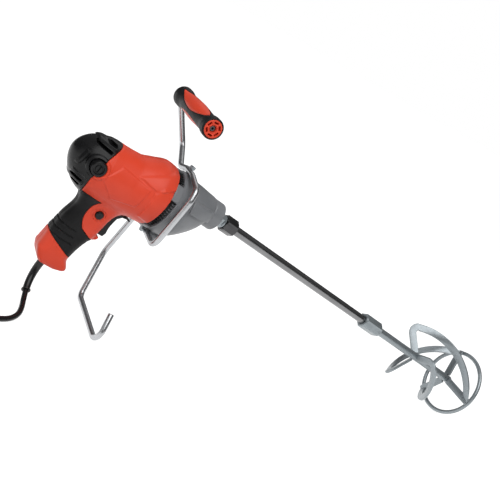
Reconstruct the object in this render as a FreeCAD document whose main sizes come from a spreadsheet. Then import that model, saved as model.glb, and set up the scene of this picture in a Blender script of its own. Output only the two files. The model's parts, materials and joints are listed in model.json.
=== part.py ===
"""Mixing drill: pistol-grip motor, offset gearbox, bent carrying rod and a three-bladed paddle.

Tool frame while modelling (millimetres): +X runs forward along the spindle, +Y to the tool's left,
+Z away from the pistol grip, origin where the spindle leaves the gearbox nose. At the end every piece
takes one standing placement, in which the foot of the rod and the paddle hoop rest on the floor z = 0.
"""
import FreeCAD, Part
import math
import os
from types import SimpleNamespace
from FreeCAD import Placement, Rotation, Vector

DIMENSIONS = (
    # Spindle line and paddle
    ("paddle_reach", 600, "nose end to the middle of the hoop"),
    ("paddle_dia", 120, "outside of the hoop"),
    ("shaft_dia", 13.5, "both paddle shafts"),
    ("hex_flats", 22, "across flats of nut and coupler"),
    ("nut_length", 21, "lock nut"),
    ("collar_dia", 19, "spindle end"),
    ("collar_length", 13, "spindle end beyond the nose"),
    ("collar_flats", 16, "wrench flats on the spindle end"),
    ("coupler_start", 331, "nose end to the coupler"),
    ("coupler_length", 41, "hexagon coupler"),
    ("shaft_socket", 12, "shaft screwed into spindle behind the nose end"),
    ("head_length", 118, "blade roots to the hoop"),
    ("bar_width", 12.5, "blade bar"),
    ("bar_thickness", 3.5, "blade bar"),
    ("hoop_bar", 7, "round bar of the hoop"),
    ("shaft_stop", 9, "end of the paddle shaft behind the hoop"),
    ("blade_sweep", 143, "degrees that a blade winds round the spindle"),
    ("blade_start", 40, "degrees from the left side to the first blade root"),
    # Gearbox
    ("nose_dia", 40, "bearing nose of the casting"),
    ("nose_length", 34, "round part of the nose"),
    ("rim_dia", 86, "casting where it meets the motor housing"),
    ("rim_drop", 20, "rim centre below the spindle"),
    ("rim_back", 90, "nose end to the motor housing"),
    ("rim_front", 61, "nose end to where the casting starts to narrow"),
    ("casting_wall", 3.5, "gear casting"),
    ("spigot_length", 7, "casting held inside the motor housing"),
    ("window_length", 8, "exhaust windows along the spindle"),
    ("motor_drop", 26, "motor axis below the spindle"),
    ("fine_module", 1, "motor pinion and idler gear"),
    ("coarse_module", 1.25, "idler pinion and output gear"),
    ("tooth_play", 0.24, "thinning of each tooth at its pitch line"),
    ("fine_face", 9, "idler gear width"),
    ("coarse_face", 14, "output gear width"),
    ("plate_thickness", 7, "gear plate and the bearings in it"),
    ("plate_back", 84, "nose end to the rear face of the gear plate"),
    ("spindle_dia", 19, "spindle through the output gear"),
    ("spindle_bearing_od", 35, "main bearing"),
    ("spindle_bearing_id", 17, "main bearing"),
    ("spindle_bearing_width", 10, "main bearing"),
    ("seal_width", 7, "shaft seal"),
    ("journal_dia", 8, "rear spindle journal and idler shaft"),
    ("bush_od", 12, "journal bushes"),
    ("running_gap", 0.08, "radial gap of every running fit"),
    ("seat_gap", 0.02, "gap of pressed and seated pieces"),
    ("shoulder_gap", 0.3, "between a turning shoulder and the bearing beside it"),
    ("weld_gap", 0.2, "between blade bars and what they are welded to"),
    # Motor
    ("motor_bearing_od", 22, "both motor bearings"),
    ("armature_shaft_dia", 10, "through commutator, core and fan"),
    ("armature_tail_dia", 8, "rear bearing seat"),
    ("core_dia", 35, "armature core"),
    ("core_length", 44, "armature core and stator"),
    ("core_back", 161, "nose end to the rear of the core"),
    ("stator_od", 57, "stator"),
    ("stator_gap", 0.5, "air gap"),
    ("commutator_dia", 24, "commutator"),
    ("commutator_length", 14, "commutator"),
    ("brush_back", 187, "nose end to the brush line"),
    ("brush_cap_dia", 17.6, "round brush covers"),
    ("fan_dia", 64, "motor fan"),
    ("fan_width", 12, "motor fan"),
    ("fan_back", 109, "nose end to the rear of the fan"),
    ("rear_bearing_back", 206, "nose end to the rear of the rear bearing"),
    # Motor housing
    ("shell_wall", 3, "moulded housing"),
    ("swell_dia", 88, "widest place of the barrel"),
    ("waist_dia", 78, "barrel behind the swell"),
    ("waist_drop", 29, "barrel centre at the waist"),
    ("rear_drop", 31, "barrel centre at the cap"),
    ("cap_end_back", 217, "nose end to the end of the tool"),
    ("grip_width", 37, "pistol grip from side to side"),
    ("rubber_depth", 1.6, "overmould let into the grip"),
    ("trigger_width", 16, "trigger"),
    ("trigger_travel", 5, "trigger"),
    ("trigger_gap", 0.4, "beside and behind the trigger"),
    ("switch_width", 13.2, "switch in the grip"),
    ("button_dia", 10.4, "lock-on button"),
    ("button_travel", 3, "lock-on button"),
    ("screw_dia", 3.4, "clamshell screws"),
    # Carrying rod and hand grip
    ("rod_dia", 8, "bent rod"),
    ("rod_plane", 72, "nose end to the loop round the casting"),
    ("rod_bend", 13, "usual bend radius"),
    ("rod_near", 49, "loop beside the casting"),
    ("rod_under", 68, "loop under the casting"),
    ("foot_drop", 204, "spindle to the foot of the rod"),
    ("foot_back", 65, "nose end to the plane of the foot"),
    ("foot_left", 32, "left end of the foot"),
    ("foot_right", 85, "right end of the foot"),
    ("hand_grip_back", 117, "nose end to the hand grip"),
    ("hand_grip_rise", 94, "hand grip above the spindle"),
    ("hand_grip_length", 126, "hand grip"),
    ("hand_grip_left", 3, "middle of the hand grip from the spindle plane"),
    ("hand_grip_dia", 27.5, "flared ends of the hand grip"),
    ("bolt_dia", 5, "rod bolts"),
    # Mains lead
    ("cord_dia", 7, "mains cord"),
    ("relief_dia", 10, "bend relief"),
    ("relief_radius", 38, "curve of the bend relief"),
    ("coil_inner_radius", 29.3, "innermost turn of the coil"),
    ("coil_pitch", 7.8, "from turn to turn and layer to layer"),
    ("coil_turns_per_layer", 3.25, "turns in each of the two layers"),
    ("tie_thickness", 0.8, "strap round the coil"),
)
FINE_TEETH = SimpleNamespace(pinion=9, gear=34)
COARSE_TEETH = SimpleNamespace(pinion=9, gear=27)
BLADE_COUNT = 3

doc = FreeCAD.newDocument("MixingDrill")
sheet = doc.addObject("Spreadsheet::Sheet", "Sizes")
for row, (alias, value, note) in enumerate(DIMENSIONS, start=1):
    sheet.set(f"A{row}", note)
    sheet.set(f"B{row}", str(value))
    sheet.setAlias(f"B{row}", alias)
doc.recompute()
d = SimpleNamespace(**{alias: float(sheet.get(alias)) for alias, value, note in DIMENSIONS})

ALONG_X = Rotation(Vector(0, 0, 1), Vector(1, 0, 0))
ALONG_Y = Rotation(Vector(0, 0, 1), Vector(0, 1, 0))
UPRIGHT = Rotation()
FAR = 400.0
NODES = {}
CORD_NODES = ("power_cord", "cord_coil", "coil_tie", "plug_body", "plug_pins")


def node(label, item):
    """Register a document object as a finished sub-part."""
    item.Label = label
    NODES[label] = item
    return item


def cylinder(name, radius, height, base, turn=ALONG_X):
    """A cylinder whose radius and height are sheet expressions."""
    item = doc.addObject("Part::Cylinder", name)
    item.setExpression("Radius", radius)
    item.setExpression("Height", height)
    item.Placement = Placement(Vector(*base), turn)
    return item


def box(name, low, high):
    """A plain block between two corners, used as a cutter or a stop."""
    item = doc.addObject("Part::Box", name)
    item.Length = high[0] - low[0]
    item.Width = high[1] - low[1]
    item.Height = high[2] - low[2]
    item.Placement = Placement(Vector(*low), UPRIGHT)
    return item


def hexagon(name, height, base):
    """A hexagon bar along the spindle with the sheet's size across flats."""
    item = doc.addObject("Part::Prism", name)
    item.Polygon = 6
    item.setExpression("Circumradius", "Sizes.hex_flats / sqrt(3)")
    item.setExpression("Height", height)
    item.Placement = Placement(Vector(*base), ALONG_X)
    return item


def fuse(name, *items):
    item = doc.addObject("Part::MultiFuse", name)
    item.Shapes = list(items)
    item.Refine = True
    return item


def cut(name, base, *tools):
    """Take one or several tools away from a base, one after the other."""
    result = base
    for number, tool in enumerate(tools, start=1):
        item = doc.addObject("Part::Cut", name if number == len(tools) else f"{name}_{number}")
        item.Base = result
        item.Tool = tool
        result = item
    return result


def common(name, *items):
    item = doc.addObject("Part::MultiCommon", name)
    item.Shapes = list(items)
    return item


def feature(name, shape):
    item = doc.addObject("Part::Feature", name)
    item.Shape = shape
    return item


def ring(name, outer, inner, height, base, turn=ALONG_X):
    """A bush, bearing or sleeve."""
    body = cylinder(name + "_outside", outer, height, base, turn)
    hole = cylinder(name + "_hole", inner, height, base, turn)
    return cut(name, body, hole)


def circle_loft(name, sections):
    """A loft through circles square to the spindle: (distance behind the nose, radius, drop)."""
    rounds = []
    for number, (back, radius, drop) in enumerate(sections):
        section = doc.addObject("Part::Circle", f"{name}_section_{number}")
        section.Radius = radius
        section.Placement = Placement(Vector(-back, 0, -drop), ALONG_X)
        rounds.append(section)
    item = doc.addObject("Part::Loft", name)
    item.Sections = rounds
    item.Solid = True
    return item


def wedge(name, outline, half_width):
    """A flat outline in the X-Z plane, given as (x, z), thickened to both sides."""
    corners = [Vector(x, -half_width, z) for x, z in outline]
    face = Part.Face(Part.makePolygon(corners + corners[:1]))
    return feature(name, face.extrude(Vector(0, 2 * half_width, 0)))


# Paths for bent rods and cords


def arc_between(start, tangent, end):
    """The circular arc that leaves start along tangent and reaches end, or a line if they agree."""
    chord = end - start
    along = Vector(chord).normalize()
    side = tangent - along * tangent.dot(along)
    if side.Length < 1e-6:
        return Part.LineSegment(start, end).toShape()
    angle = math.atan2(side.Length, tangent.dot(along))
    middle = start + chord * 0.5 + side.normalize() * (chord.Length / 2 * math.tan(angle / 2))
    return Part.Arc(start, middle, end).toShape()


def bent_path(points, bend_radius):
    """Straight runs joined by tangent arcs; bend_radius(number, runs, turn) gives each arc's radius."""
    edges = []
    here = points[0]
    for number in range(1, len(points) - 1):
        corner = points[number]
        before = corner - points[number - 1]
        after = points[number + 1] - corner
        turn = before.getAngle(after)
        reach = bend_radius(number, (before.Length, after.Length), turn) * math.tan(turn / 2)
        into = corner - Vector(before).normalize() * reach
        out = corner + Vector(after).normalize() * reach
        edges.append(Part.LineSegment(here, into).toShape())
        edges.append(arc_between(into, Vector(before).normalize(), out))
        here = out
    edges.append(Part.LineSegment(here, points[-1]).toShape())
    return Part.Wire(edges)


def tube(path, diameter):
    """A round bar or cord along a path, with its volume compared with section times length."""
    first = path.Edges[0]
    start = first.valueAt(first.FirstParameter)
    direction = first.tangentAt(first.FirstParameter)
    section = Part.Wire(Part.makeCircle(diameter / 2, start, direction))
    solid = path.makePipeShell([section], True, False)
    expected = math.pi * diameter ** 2 / 4 * path.Length
    if abs(solid.Volume / expected - 1) > 0.01:
        raise RuntimeError(f"tube volume {solid.Volume:.0f}, section times length {expected:.0f}")
    return solid


# Gear train


def gear_shape(module, teeth, width, start, centre, phase):
    """Spur gear along the spindle with involute flanks; phase turns a tooth to that angle."""
    pitch_radius = module * teeth / 2
    base_radius = pitch_radius * math.cos(math.radians(25))
    tip_radius = pitch_radius + 0.9 * module
    root_radius = pitch_radius - 1.2 * module
    half_tooth = (math.pi * module / 2 - d.tooth_play) / (2 * pitch_radius)

    def involute(radius):
        """Angle gained by the flank between its base circle and this radius."""
        if radius <= base_radius:
            return 0.0
        roll = math.sqrt((radius / base_radius) ** 2 - 1)
        return roll - math.atan(roll)

    flank = [root_radius, (root_radius + pitch_radius) / 2, pitch_radius, tip_radius]
    corners = []
    for tooth in range(teeth):
        middle = phase + 2 * math.pi * tooth / teeth
        offsets = [half_tooth + involute(pitch_radius) - involute(radius) for radius in flank]
        outline = [(radius, middle - offset) for radius, offset in zip(flank, offsets)]
        outline += [(radius, middle + offset) for radius, offset in zip(reversed(flank), reversed(offsets))]
        for radius, angle in outline:
            y = centre[0] + radius * math.cos(angle)
            z = centre[1] + radius * math.sin(angle)
            corners.append(Vector(start, y, z))
    face = Part.Face(Part.makePolygon(corners + corners[:1]))
    return face.extrude(Vector(width, 0, 0))


SPINDLE_AXIS = (0.0, 0.0)
MOTOR_AXIS = (0.0, -d.motor_drop)
fine_centres = d.fine_module * (FINE_TEETH.pinion + FINE_TEETH.gear) / 2
coarse_centres = d.coarse_module * (COARSE_TEETH.pinion + COARSE_TEETH.gear) / 2
idler_z = (fine_centres ** 2 - coarse_centres ** 2 - d.motor_drop ** 2) / (2 * d.motor_drop)
idler_y = math.sqrt(coarse_centres ** 2 - idler_z ** 2)
IDLER_AXIS = (idler_y, idler_z)
plate_front = -d.plate_back + d.plate_thickness
fine_start = plate_front + 1.5
coarse_start = fine_start + d.fine_face + 4.5
idler_end = coarse_start + d.coarse_face + 10


def gear_phases():
    """Turn each gear so that its teeth stand in its neighbour's gaps at rest."""
    to_spindle = math.atan2(-idler_z, -idler_y)
    to_motor = math.atan2(-d.motor_drop - idler_z, -idler_y)
    output = math.pi + to_spindle + math.pi / COARSE_TEETH.gear
    pinion = math.pi + to_motor + math.pi / FINE_TEETH.pinion
    return SimpleNamespace(output=output, idler_pinion=to_spindle, idler_gear=to_motor, motor_pinion=pinion)


PHASES = gear_phases()


def make_gear_train():
    """Output gear on the spindle, idler pair and the spindle itself."""
    bore = cylinder("output_bore", "Sizes.spindle_dia / 2 + Sizes.seat_gap", "Sizes.coarse_face", (coarse_start, 0, 0))
    teeth = feature("output_teeth", gear_shape(
        d.coarse_module, COARSE_TEETH.gear, d.coarse_face, coarse_start, SPINDLE_AXIS, PHASES.output))
    node("output_gear", cut("output_gear", teeth, bore))

    y, z = IDLER_AXIS
    bore = cylinder("idler_bore", "Sizes.journal_dia / 2 + Sizes.seat_gap", "Sizes.fine_face", (fine_start, y, z))
    teeth = feature("idler_teeth", gear_shape(
        d.fine_module, FINE_TEETH.gear, d.fine_face, fine_start, IDLER_AXIS, PHASES.idler_gear))
    node("idler_gear", cut("idler_gear", teeth, bore))

    rear = feature("idler_rear", Part.makeCylinder(
        d.journal_dia / 2, coarse_start - 1 + d.plate_back, Vector(-d.plate_back, y, z), Vector(1, 0, 0)))
    pinion = feature("idler_pinion", gear_shape(
        d.coarse_module, COARSE_TEETH.pinion, d.coarse_face + 1, coarse_start - 1, IDLER_AXIS, PHASES.idler_pinion))
    front = feature("idler_front", Part.makeCylinder(
        d.journal_dia / 2, idler_end - coarse_start - d.coarse_face,
        Vector(coarse_start + d.coarse_face, y, z), Vector(1, 0, 0)))
    node("idler_shaft", fuse("idler_shaft", rear, pinion, front))

    bush = ("Sizes.bush_od / 2", "Sizes.journal_dia / 2 + Sizes.running_gap")
    rear_bush = ring("idler_rear_bush", *bush, "Sizes.plate_thickness", (-d.plate_back, y, z))
    node("idler_rear_bush", rear_bush)
    front_start = coarse_start + d.coarse_face + 2
    front_bush = ring("idler_front_bush", *bush, str(idler_end - front_start), (front_start, y, z))
    node("idler_front_bush", front_bush)
    node("spindle_rear_bush", ring("spindle_rear_bush", *bush, "Sizes.plate_thickness", (-d.plate_back, 0, 0)))


bearing_front = -d.nose_length + 3 + d.spindle_bearing_width
seal_start = -d.seal_width - 3


def make_spindle():
    """Spindle with its rear journal, gear seat, bearing seat, flatted end and threaded socket."""
    journal = cylinder("spindle_journal", "Sizes.journal_dia / 2", str(d.plate_back + coarse_start), (-d.plate_back, 0, 0))
    neck_start = bearing_front - d.spindle_bearing_width - d.shoulder_gap
    gear_seat = cylinder("spindle_gear_seat", "Sizes.spindle_dia / 2", str(neck_start - coarse_start),
                         (coarse_start, 0, 0))
    neck = cylinder("spindle_neck", "Sizes.spindle_bearing_id / 2 - Sizes.running_gap",
                    str(1 - neck_start), (neck_start, 0, 0))
    collar = cylinder("spindle_collar", "Sizes.collar_dia / 2", "Sizes.collar_length - 1", (1, 0, 0))
    body = fuse("spindle_blank", journal, gear_seat, neck, collar)
    flats = []
    for side in (-1, 1):
        low = side * d.collar_flats / 2
        edges = sorted((low, low + side * d.collar_dia))
        flats.append(box(f"flat_{side}", (3, edges[0], -d.collar_dia), (d.collar_length - 3, edges[1], d.collar_dia)))
    socket = cylinder("spindle_socket", "Sizes.shaft_dia / 2 + Sizes.seat_gap",
                      "Sizes.shaft_socket + Sizes.collar_length", (-d.shaft_socket, 0, 0))
    node("spindle", cut("spindle", body, *flats, socket))
    bearing = ring("spindle_bearing", "Sizes.spindle_bearing_od / 2", "Sizes.spindle_bearing_id / 2",
                   "Sizes.spindle_bearing_width", (bearing_front - d.spindle_bearing_width, 0, 0))
    node("spindle_bearing", bearing)
    seal = ring("shaft_seal", "Sizes.spindle_bearing_od / 2", "Sizes.spindle_bearing_id / 2",
                "Sizes.seal_width", (seal_start, 0, 0))
    node("shaft_seal", seal)


# Paddle


def make_shafts():
    """Two round shafts, the lock nut against the spindle and the hexagon coupler between the shafts."""
    coupler_middle = d.coupler_start + d.coupler_length / 2
    length = str(coupler_middle + d.shaft_socket - 0.5)
    node("upper_shaft", cylinder("upper_shaft", "Sizes.shaft_dia / 2", length, (-d.shaft_socket, 0, 0)))
    end = d.paddle_reach - d.shaft_stop
    length = str(end - coupler_middle - 0.5)
    node("paddle_shaft", cylinder("paddle_shaft", "Sizes.shaft_dia / 2", length, (coupler_middle + 0.5, 0, 0)))
    bore = "Sizes.shaft_dia / 2 + Sizes.seat_gap"
    nut = hexagon("nut_blank", "Sizes.nut_length", (d.collar_length, 0, 0))
    hole = cylinder("nut_bore", bore, "Sizes.nut_length", (d.collar_length, 0, 0))
    node("lock_nut", cut("lock_nut", nut, hole))
    coupler = hexagon("coupler_blank", "Sizes.coupler_length", (d.coupler_start, 0, 0))
    hole = cylinder("coupler_bore", bore, "Sizes.coupler_length", (d.coupler_start, 0, 0))
    node("shaft_coupler", cut("shaft_coupler", coupler, hole))


def bar_section(centre, width_way, thick_way):
    """One rectangular section of a blade bar."""
    half = width_way * (d.bar_width / 2)
    deep = thick_way * (d.bar_thickness / 2)
    corners = [centre + half + deep, centre - half + deep, centre - half - deep, centre + half - deep]
    return Part.makePolygon(corners + corners[:1])


def blade_shape(start_angle):
    """One bar: out from the shaft, round a corner, wound to the hoop, and back in as a spoke.

    The bar lies flat in the plane of its corner and twists until it lies flat behind the hoop.
    """
    arm_radius = d.paddle_dia / 2 - d.bar_thickness / 2
    arm_end = d.paddle_reach - d.hoop_bar / 2 - d.weld_gap - d.bar_width * 0.4
    sweep = math.radians(d.blade_sweep)
    hub_x = d.paddle_reach - d.head_length
    shoulder_x = hub_x - 12
    slope = (arm_end - shoulder_x) / (sweep * arm_radius)

    def outward(angle):
        return Vector(0, math.cos(angle), math.sin(angle))

    def forward(angle):
        """Direction of the wound arm at this angle."""
        round_way = Vector(0, -math.sin(angle), math.cos(angle))
        return (round_way + Vector(slope, 0, 0)).normalize()

    first = outward(start_angle)
    first_way = forward(start_angle)
    corner_radius = arm_radius - d.bar_width / 2
    root = Vector(hub_x, 0, 0) + first * (d.shaft_dia / 2 + d.weld_gap)
    corner = Vector(shoulder_x, 0, 0) + first * corner_radius
    leg_way = (corner - root).normalize()
    normal = leg_way.cross(first_way).normalize()
    sections = [bar_section(root, normal.cross(leg_way), normal)]
    turn = leg_way.getAngle(first_way)
    reach = d.bar_width
    bend = reach / math.tan(turn / 2)
    inward = (first_way - leg_way * first_way.dot(leg_way)).normalize()
    for step in range(5):
        angle = turn * step / 5
        way = leg_way * math.cos(angle) + inward * math.sin(angle)
        centre = corner - leg_way * reach + (leg_way * math.sin(angle) + inward * (1 - math.cos(angle))) * bend
        sections.append(bar_section(centre, normal.cross(way), normal))
    steps = 14
    first_share = reach * 1.15 / (sweep * arm_radius * math.hypot(1, slope))
    for step in range(steps + 1):
        share = first_share + (1 - first_share) * step / steps
        angle = start_angle + sweep * share
        way = forward(angle)
        twist = math.sin(min(1.0, step / (steps - 2)) * math.pi / 2) ** 2
        edgewise = outward(angle).cross(way).normalize()
        normal = (edgewise * (1 - twist) + outward(angle) * twist).normalize()
        radius = corner_radius + (arm_radius - corner_radius) * twist
        centre = Vector(shoulder_x + (arm_end - shoulder_x) * share, 0, 0) + outward(angle) * radius
        sections.append(bar_section(centre, normal.cross(way), normal))
    arm = Part.makeLoft(sections, True, True)

    last = outward(start_angle + sweep)
    across = Vector(1, 0, 0).cross(last)
    hub = Vector(d.paddle_reach - d.shaft_stop * 2, 0, 0) + last * (d.shaft_dia / 2 + d.weld_gap)
    rim = Vector(arm_end, 0, 0) + last * arm_radius
    spoke_normal = (rim - hub).normalize().cross(across)
    spoke = Part.makeLoft([bar_section(hub, across, spoke_normal), bar_section(rim, across, spoke_normal)], True, True)
    return arm.fuse(spoke).removeSplitter()


def make_paddle_head():
    for number in range(BLADE_COUNT):
        angle = math.radians(d.blade_start) + 2 * math.pi * number / BLADE_COUNT
        node(f"paddle_blade_{number + 1}", feature(f"paddle_blade_{number + 1}", blade_shape(angle)))
    hoop = doc.addObject("Part::Torus", "paddle_hoop")
    hoop.setExpression("Radius1", "Sizes.paddle_dia / 2 - Sizes.hoop_bar / 2")
    hoop.setExpression("Radius2", "Sizes.hoop_bar / 2")
    hoop.Placement = Placement(Vector(d.paddle_reach, 0, 0), ALONG_X)
    node("paddle_hoop", hoop)


# Gear casting and what it holds


def window_sector(name, middle, span):
    """A wedge of the rim, given by its middle angle and span in degrees, for one exhaust window."""
    reach = d.rim_dia
    corners = [Vector(-d.rim_back - 0.5, 0, -d.rim_drop)]
    for step in range(5):
        angle = math.radians(middle + span * (step / 4 - 0.5))
        corners.append(Vector(-d.rim_back - 0.5, reach * math.cos(angle), reach * math.sin(angle) - d.rim_drop))
    face = Part.Face(Part.makePolygon(corners + corners[:1]))
    return feature(name, face.extrude(Vector(d.window_length + 0.5, 0, 0)))


rod_under_x = -(d.rod_plane + d.foot_back) / 2
top_bolt_y = 4.0
rod_top = d.rim_dia / 2 - d.rim_drop + d.rod_dia / 2 + 1


def make_gear_casting():
    """The cast gear housing: offset bowl, bearing nose, bolt bosses, exhaust windows and bores."""
    rim = cylinder("casting_rim", "Sizes.rim_dia / 2", "Sizes.rim_back - Sizes.rim_front", (-d.rim_back, 0, -d.rim_drop))
    rim_radius = d.rim_dia / 2
    nose_radius = d.nose_dia / 2
    shoulder = d.nose_length / 2
    bowl = circle_loft("casting_bowl", [
        (d.rim_front, rim_radius, d.rim_drop),
        (d.rim_front - (d.rim_front - shoulder) * 0.4, rim_radius * 0.6 + nose_radius * 0.52, d.rim_drop * 0.68),
        (d.rim_front - (d.rim_front - shoulder) * 0.74, rim_radius * 0.22 + nose_radius * 0.9, d.rim_drop * 0.33),
        (shoulder, nose_radius, 0),
    ])
    nose = cylinder("casting_nose", "Sizes.nose_dia / 2", "Sizes.nose_length - 4", (-d.nose_length, 0, 0))
    lip = doc.addObject("Part::Cone", "casting_lip")
    lip.setExpression("Radius1", "Sizes.nose_dia / 2")
    lip.setExpression("Radius2", "Sizes.nose_dia / 2 - 1.6")
    lip.Height = 4
    lip.Placement = Placement(Vector(-4, 0, 0), ALONG_X)
    spigot = cylinder("casting_spigot", "Sizes.rim_dia / 2 - Sizes.shell_wall - Sizes.seat_gap",
                      "Sizes.spigot_length + 1", (-d.rim_back - d.spigot_length, 0, -d.rim_drop))
    top_boss = cylinder("casting_top_boss", "Sizes.bolt_dia * 1.4", str(rod_top - d.rod_dia / 2 - 14),
                        (-d.rod_plane, top_bolt_y, 14), UPRIGHT)
    boss_start = rod_under_x + d.rod_dia / 2 + 0.1
    lower_boss = cylinder("casting_lower_boss", "Sizes.bolt_dia * 1.15", str(-d.rim_front + 16 - boss_start),
                          (boss_start, 0, -d.rod_under))
    rib = feature("casting_rib", side_rib())
    block = fuse("casting_block", rim, bowl, nose, lip, spigot, top_boss, lower_boss, rib)

    inner_radius = "Sizes.rim_dia / 2 - Sizes.casting_wall"
    rim_cavity = cylinder("casting_cavity", inner_radius, str(d.rim_back + d.spigot_length + coarse_start),
                          (-d.rim_back - d.spigot_length - 1, 0, -d.rim_drop))
    tip = d.coarse_module * (COARSE_TEETH.gear / 2 + 1)
    gear_cavity = cylinder("gear_cavity", str(tip + 0.8), str(d.coarse_face + 3), (coarse_start - 2, 0, 0))
    y, z = IDLER_AXIS
    pinion_tip = d.coarse_module * (COARSE_TEETH.pinion / 2 + 1)
    pinion_cavity = cylinder("pinion_cavity", str(pinion_tip + 0.8), str(d.coarse_face + 3), (coarse_start - 2, y, z))
    bush_start = coarse_start + d.coarse_face
    bush_pocket = cylinder("bush_pocket", "Sizes.bush_od / 2 + Sizes.seat_gap", str(idler_end - bush_start + 0.5), (bush_start, y, z))
    neck_bore = cylinder("neck_bore", "Sizes.spindle_dia / 2 + 1.5", str(-bush_start + bearing_front), (bush_start, 0, 0))
    pocket_start = bearing_front - d.spindle_bearing_width
    pocket = cylinder("bearing_pocket", "Sizes.spindle_bearing_od / 2 + Sizes.seat_gap", str(1 - pocket_start), (pocket_start, 0, 0))
    bolt_hole = "Sizes.bolt_dia / 2 + Sizes.seat_gap"
    top_hole = cylinder("casting_top_hole", bolt_hole, "40", (-d.rod_plane, top_bolt_y, 15), UPRIGHT)
    lower_hole = cylinder("casting_lower_hole", bolt_hole, "13", (boss_start, 0, -d.rod_under))
    windows = []
    for number, (middle, span) in enumerate(((112, 40), (199, 72), (68, 40), (-19, 72))):
        windows.append(window_sector(f"window_{number}", middle, span))
    casting = cut("casting_bored", block, rim_cavity, gear_cavity, pinion_cavity, bush_pocket, neck_bore,
                  pocket, top_hole, lower_hole, *windows)
    kept_boss = cylinder("kept_boss", "Sizes.bolt_dia * 0.95", str(rod_top - d.rod_dia / 2 - 14),
                         (-d.rod_plane, top_bolt_y, 14), UPRIGHT)
    bored_boss = cut("bored_boss", kept_boss, top_hole)
    node("gear_housing", fuse("gear_housing", casting, bored_boss))

    plate = cylinder("plate_blank", "Sizes.rim_dia / 2 - Sizes.casting_wall - Sizes.seat_gap", "Sizes.plate_thickness",
                     (-d.plate_back, 0, -d.rim_drop))
    holes = [cylinder("plate_motor_hole", "Sizes.motor_bearing_od / 2 + Sizes.seat_gap", "Sizes.plate_thickness",
                      (-d.plate_back, *MOTOR_AXIS))]
    for name, axis in (("idler", IDLER_AXIS), ("spindle", SPINDLE_AXIS)):
        holes.append(cylinder(f"plate_{name}_hole", "Sizes.bush_od / 2 + Sizes.seat_gap", "Sizes.plate_thickness",
                              (-d.plate_back, *axis)))
    node("gear_plate", cut("gear_plate", plate, *holes))


def side_rib():
    """Raised strengthening pad on each flank of the bowl, running from the rim to the nose."""
    half = d.nose_dia / 2 + 2.5
    pad = Part.makeBox(d.rim_front - 26, 2 * half, 13, Vector(-d.rim_front + 2, -half, -6))
    return pad


def make_louvre_ring():
    """Black ring behind the exhaust windows, with slots that let the fan's air out."""
    start = -d.rim_back + 0.3
    width = d.rim_back - d.plate_back - 0.4
    outer = "Sizes.rim_dia / 2 - Sizes.casting_wall - Sizes.seat_gap"
    blank = ring("louvre_blank", outer, "Sizes.rim_dia / 2 - Sizes.casting_wall - 4", str(width), (start, 0, -d.rim_drop))
    slots = []
    count = 30
    for number in range(count):
        slot = Part.makeBox(width - 2, d.rim_dia, 1.6, Vector(start - 0.5, d.rim_dia / 2 - 9, -0.8))
        slot.rotate(Vector(0, 0, 0), Vector(1, 0, 0), 360 * number / count)
        slot.translate(Vector(0, 0, -d.rim_drop))
        slots.append(slot)
    node("louvre_ring", cut("louvre_ring", blank, feature("louvre_slots", Part.makeCompound(slots))))


# Motor


def make_motor():
    y, z = MOTOR_AXIS
    pinion_length = d.fine_face + 1
    pinion_start = plate_front + 1
    shaft = cylinder("armature_bar", "Sizes.armature_shaft_dia / 2 - Sizes.running_gap",
                     str(d.rear_bearing_back - 7.5 + plate_front + 0.5), (-d.rear_bearing_back + 7.5, y, z))
    tail = cylinder("armature_tail", "Sizes.armature_tail_dia / 2 - Sizes.running_gap", "8", (-d.rear_bearing_back, y, z))
    stub = cylinder("armature_stub", "Sizes.fine_module * 3.2", str(pinion_length + 1), (pinion_start - 1, y, z))
    teeth = feature("motor_pinion", gear_shape(
        d.fine_module, FINE_TEETH.pinion, pinion_length, pinion_start, MOTOR_AXIS, PHASES.motor_pinion))
    node("armature_shaft", fuse("armature_shaft", shaft, tail, stub, teeth))

    on_shaft = "Sizes.armature_shaft_dia / 2 + Sizes.seat_gap"
    node("armature_core", ring("armature_core", "Sizes.core_dia / 2", on_shaft, "Sizes.core_length", (-d.core_back, y, z)))
    commutator_start = -d.brush_back - d.commutator_length / 2
    node("commutator", ring("commutator", "Sizes.commutator_dia / 2", on_shaft, "Sizes.commutator_length",
                            (commutator_start, y, z)))
    stator_hole = "Sizes.core_dia / 2 + Sizes.stator_gap"
    node("stator", ring("stator", "Sizes.stator_od / 2", stator_hole, "Sizes.core_length", (-d.core_back, y, z)))

    disc = cylinder("fan_disc", "Sizes.fan_dia / 2", "2", (-d.fan_back + d.fan_width - 2, y, z))
    hub = cylinder("fan_hub", "Sizes.armature_shaft_dia / 2 + 4", "Sizes.fan_width", (-d.fan_back, y, z))
    blades = []
    count = 12
    inner = d.armature_shaft_dia / 2 + 3
    for number in range(count):
        blade = Part.makeBox(d.fan_width - 1, d.fan_dia / 2 - inner - 1, 1.4, Vector(-d.fan_back, inner, -0.7))
        blade.rotate(Vector(0, 0, 0), Vector(1, 0, 0), 360 * number / count)
        blade.translate(Vector(0, y, z))
        blades.append(feature(f"fan_blade_{number}", blade))
    bore = cylinder("fan_bore", on_shaft, "Sizes.fan_width", (-d.fan_back, y, z))
    node("motor_fan", cut("motor_fan", fuse("fan_blank", disc, hub, *blades), bore))

    front = ring("motor_front_bearing", "Sizes.motor_bearing_od / 2", "Sizes.armature_shaft_dia / 2",
                 "Sizes.plate_thickness", (-d.plate_back, y, z))
    node("motor_front_bearing", front)
    rear = ring("motor_rear_bearing", "Sizes.motor_bearing_od / 2", "Sizes.armature_tail_dia / 2", "7",
                (-d.rear_bearing_back, y, z))
    node("motor_rear_bearing", rear)


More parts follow.
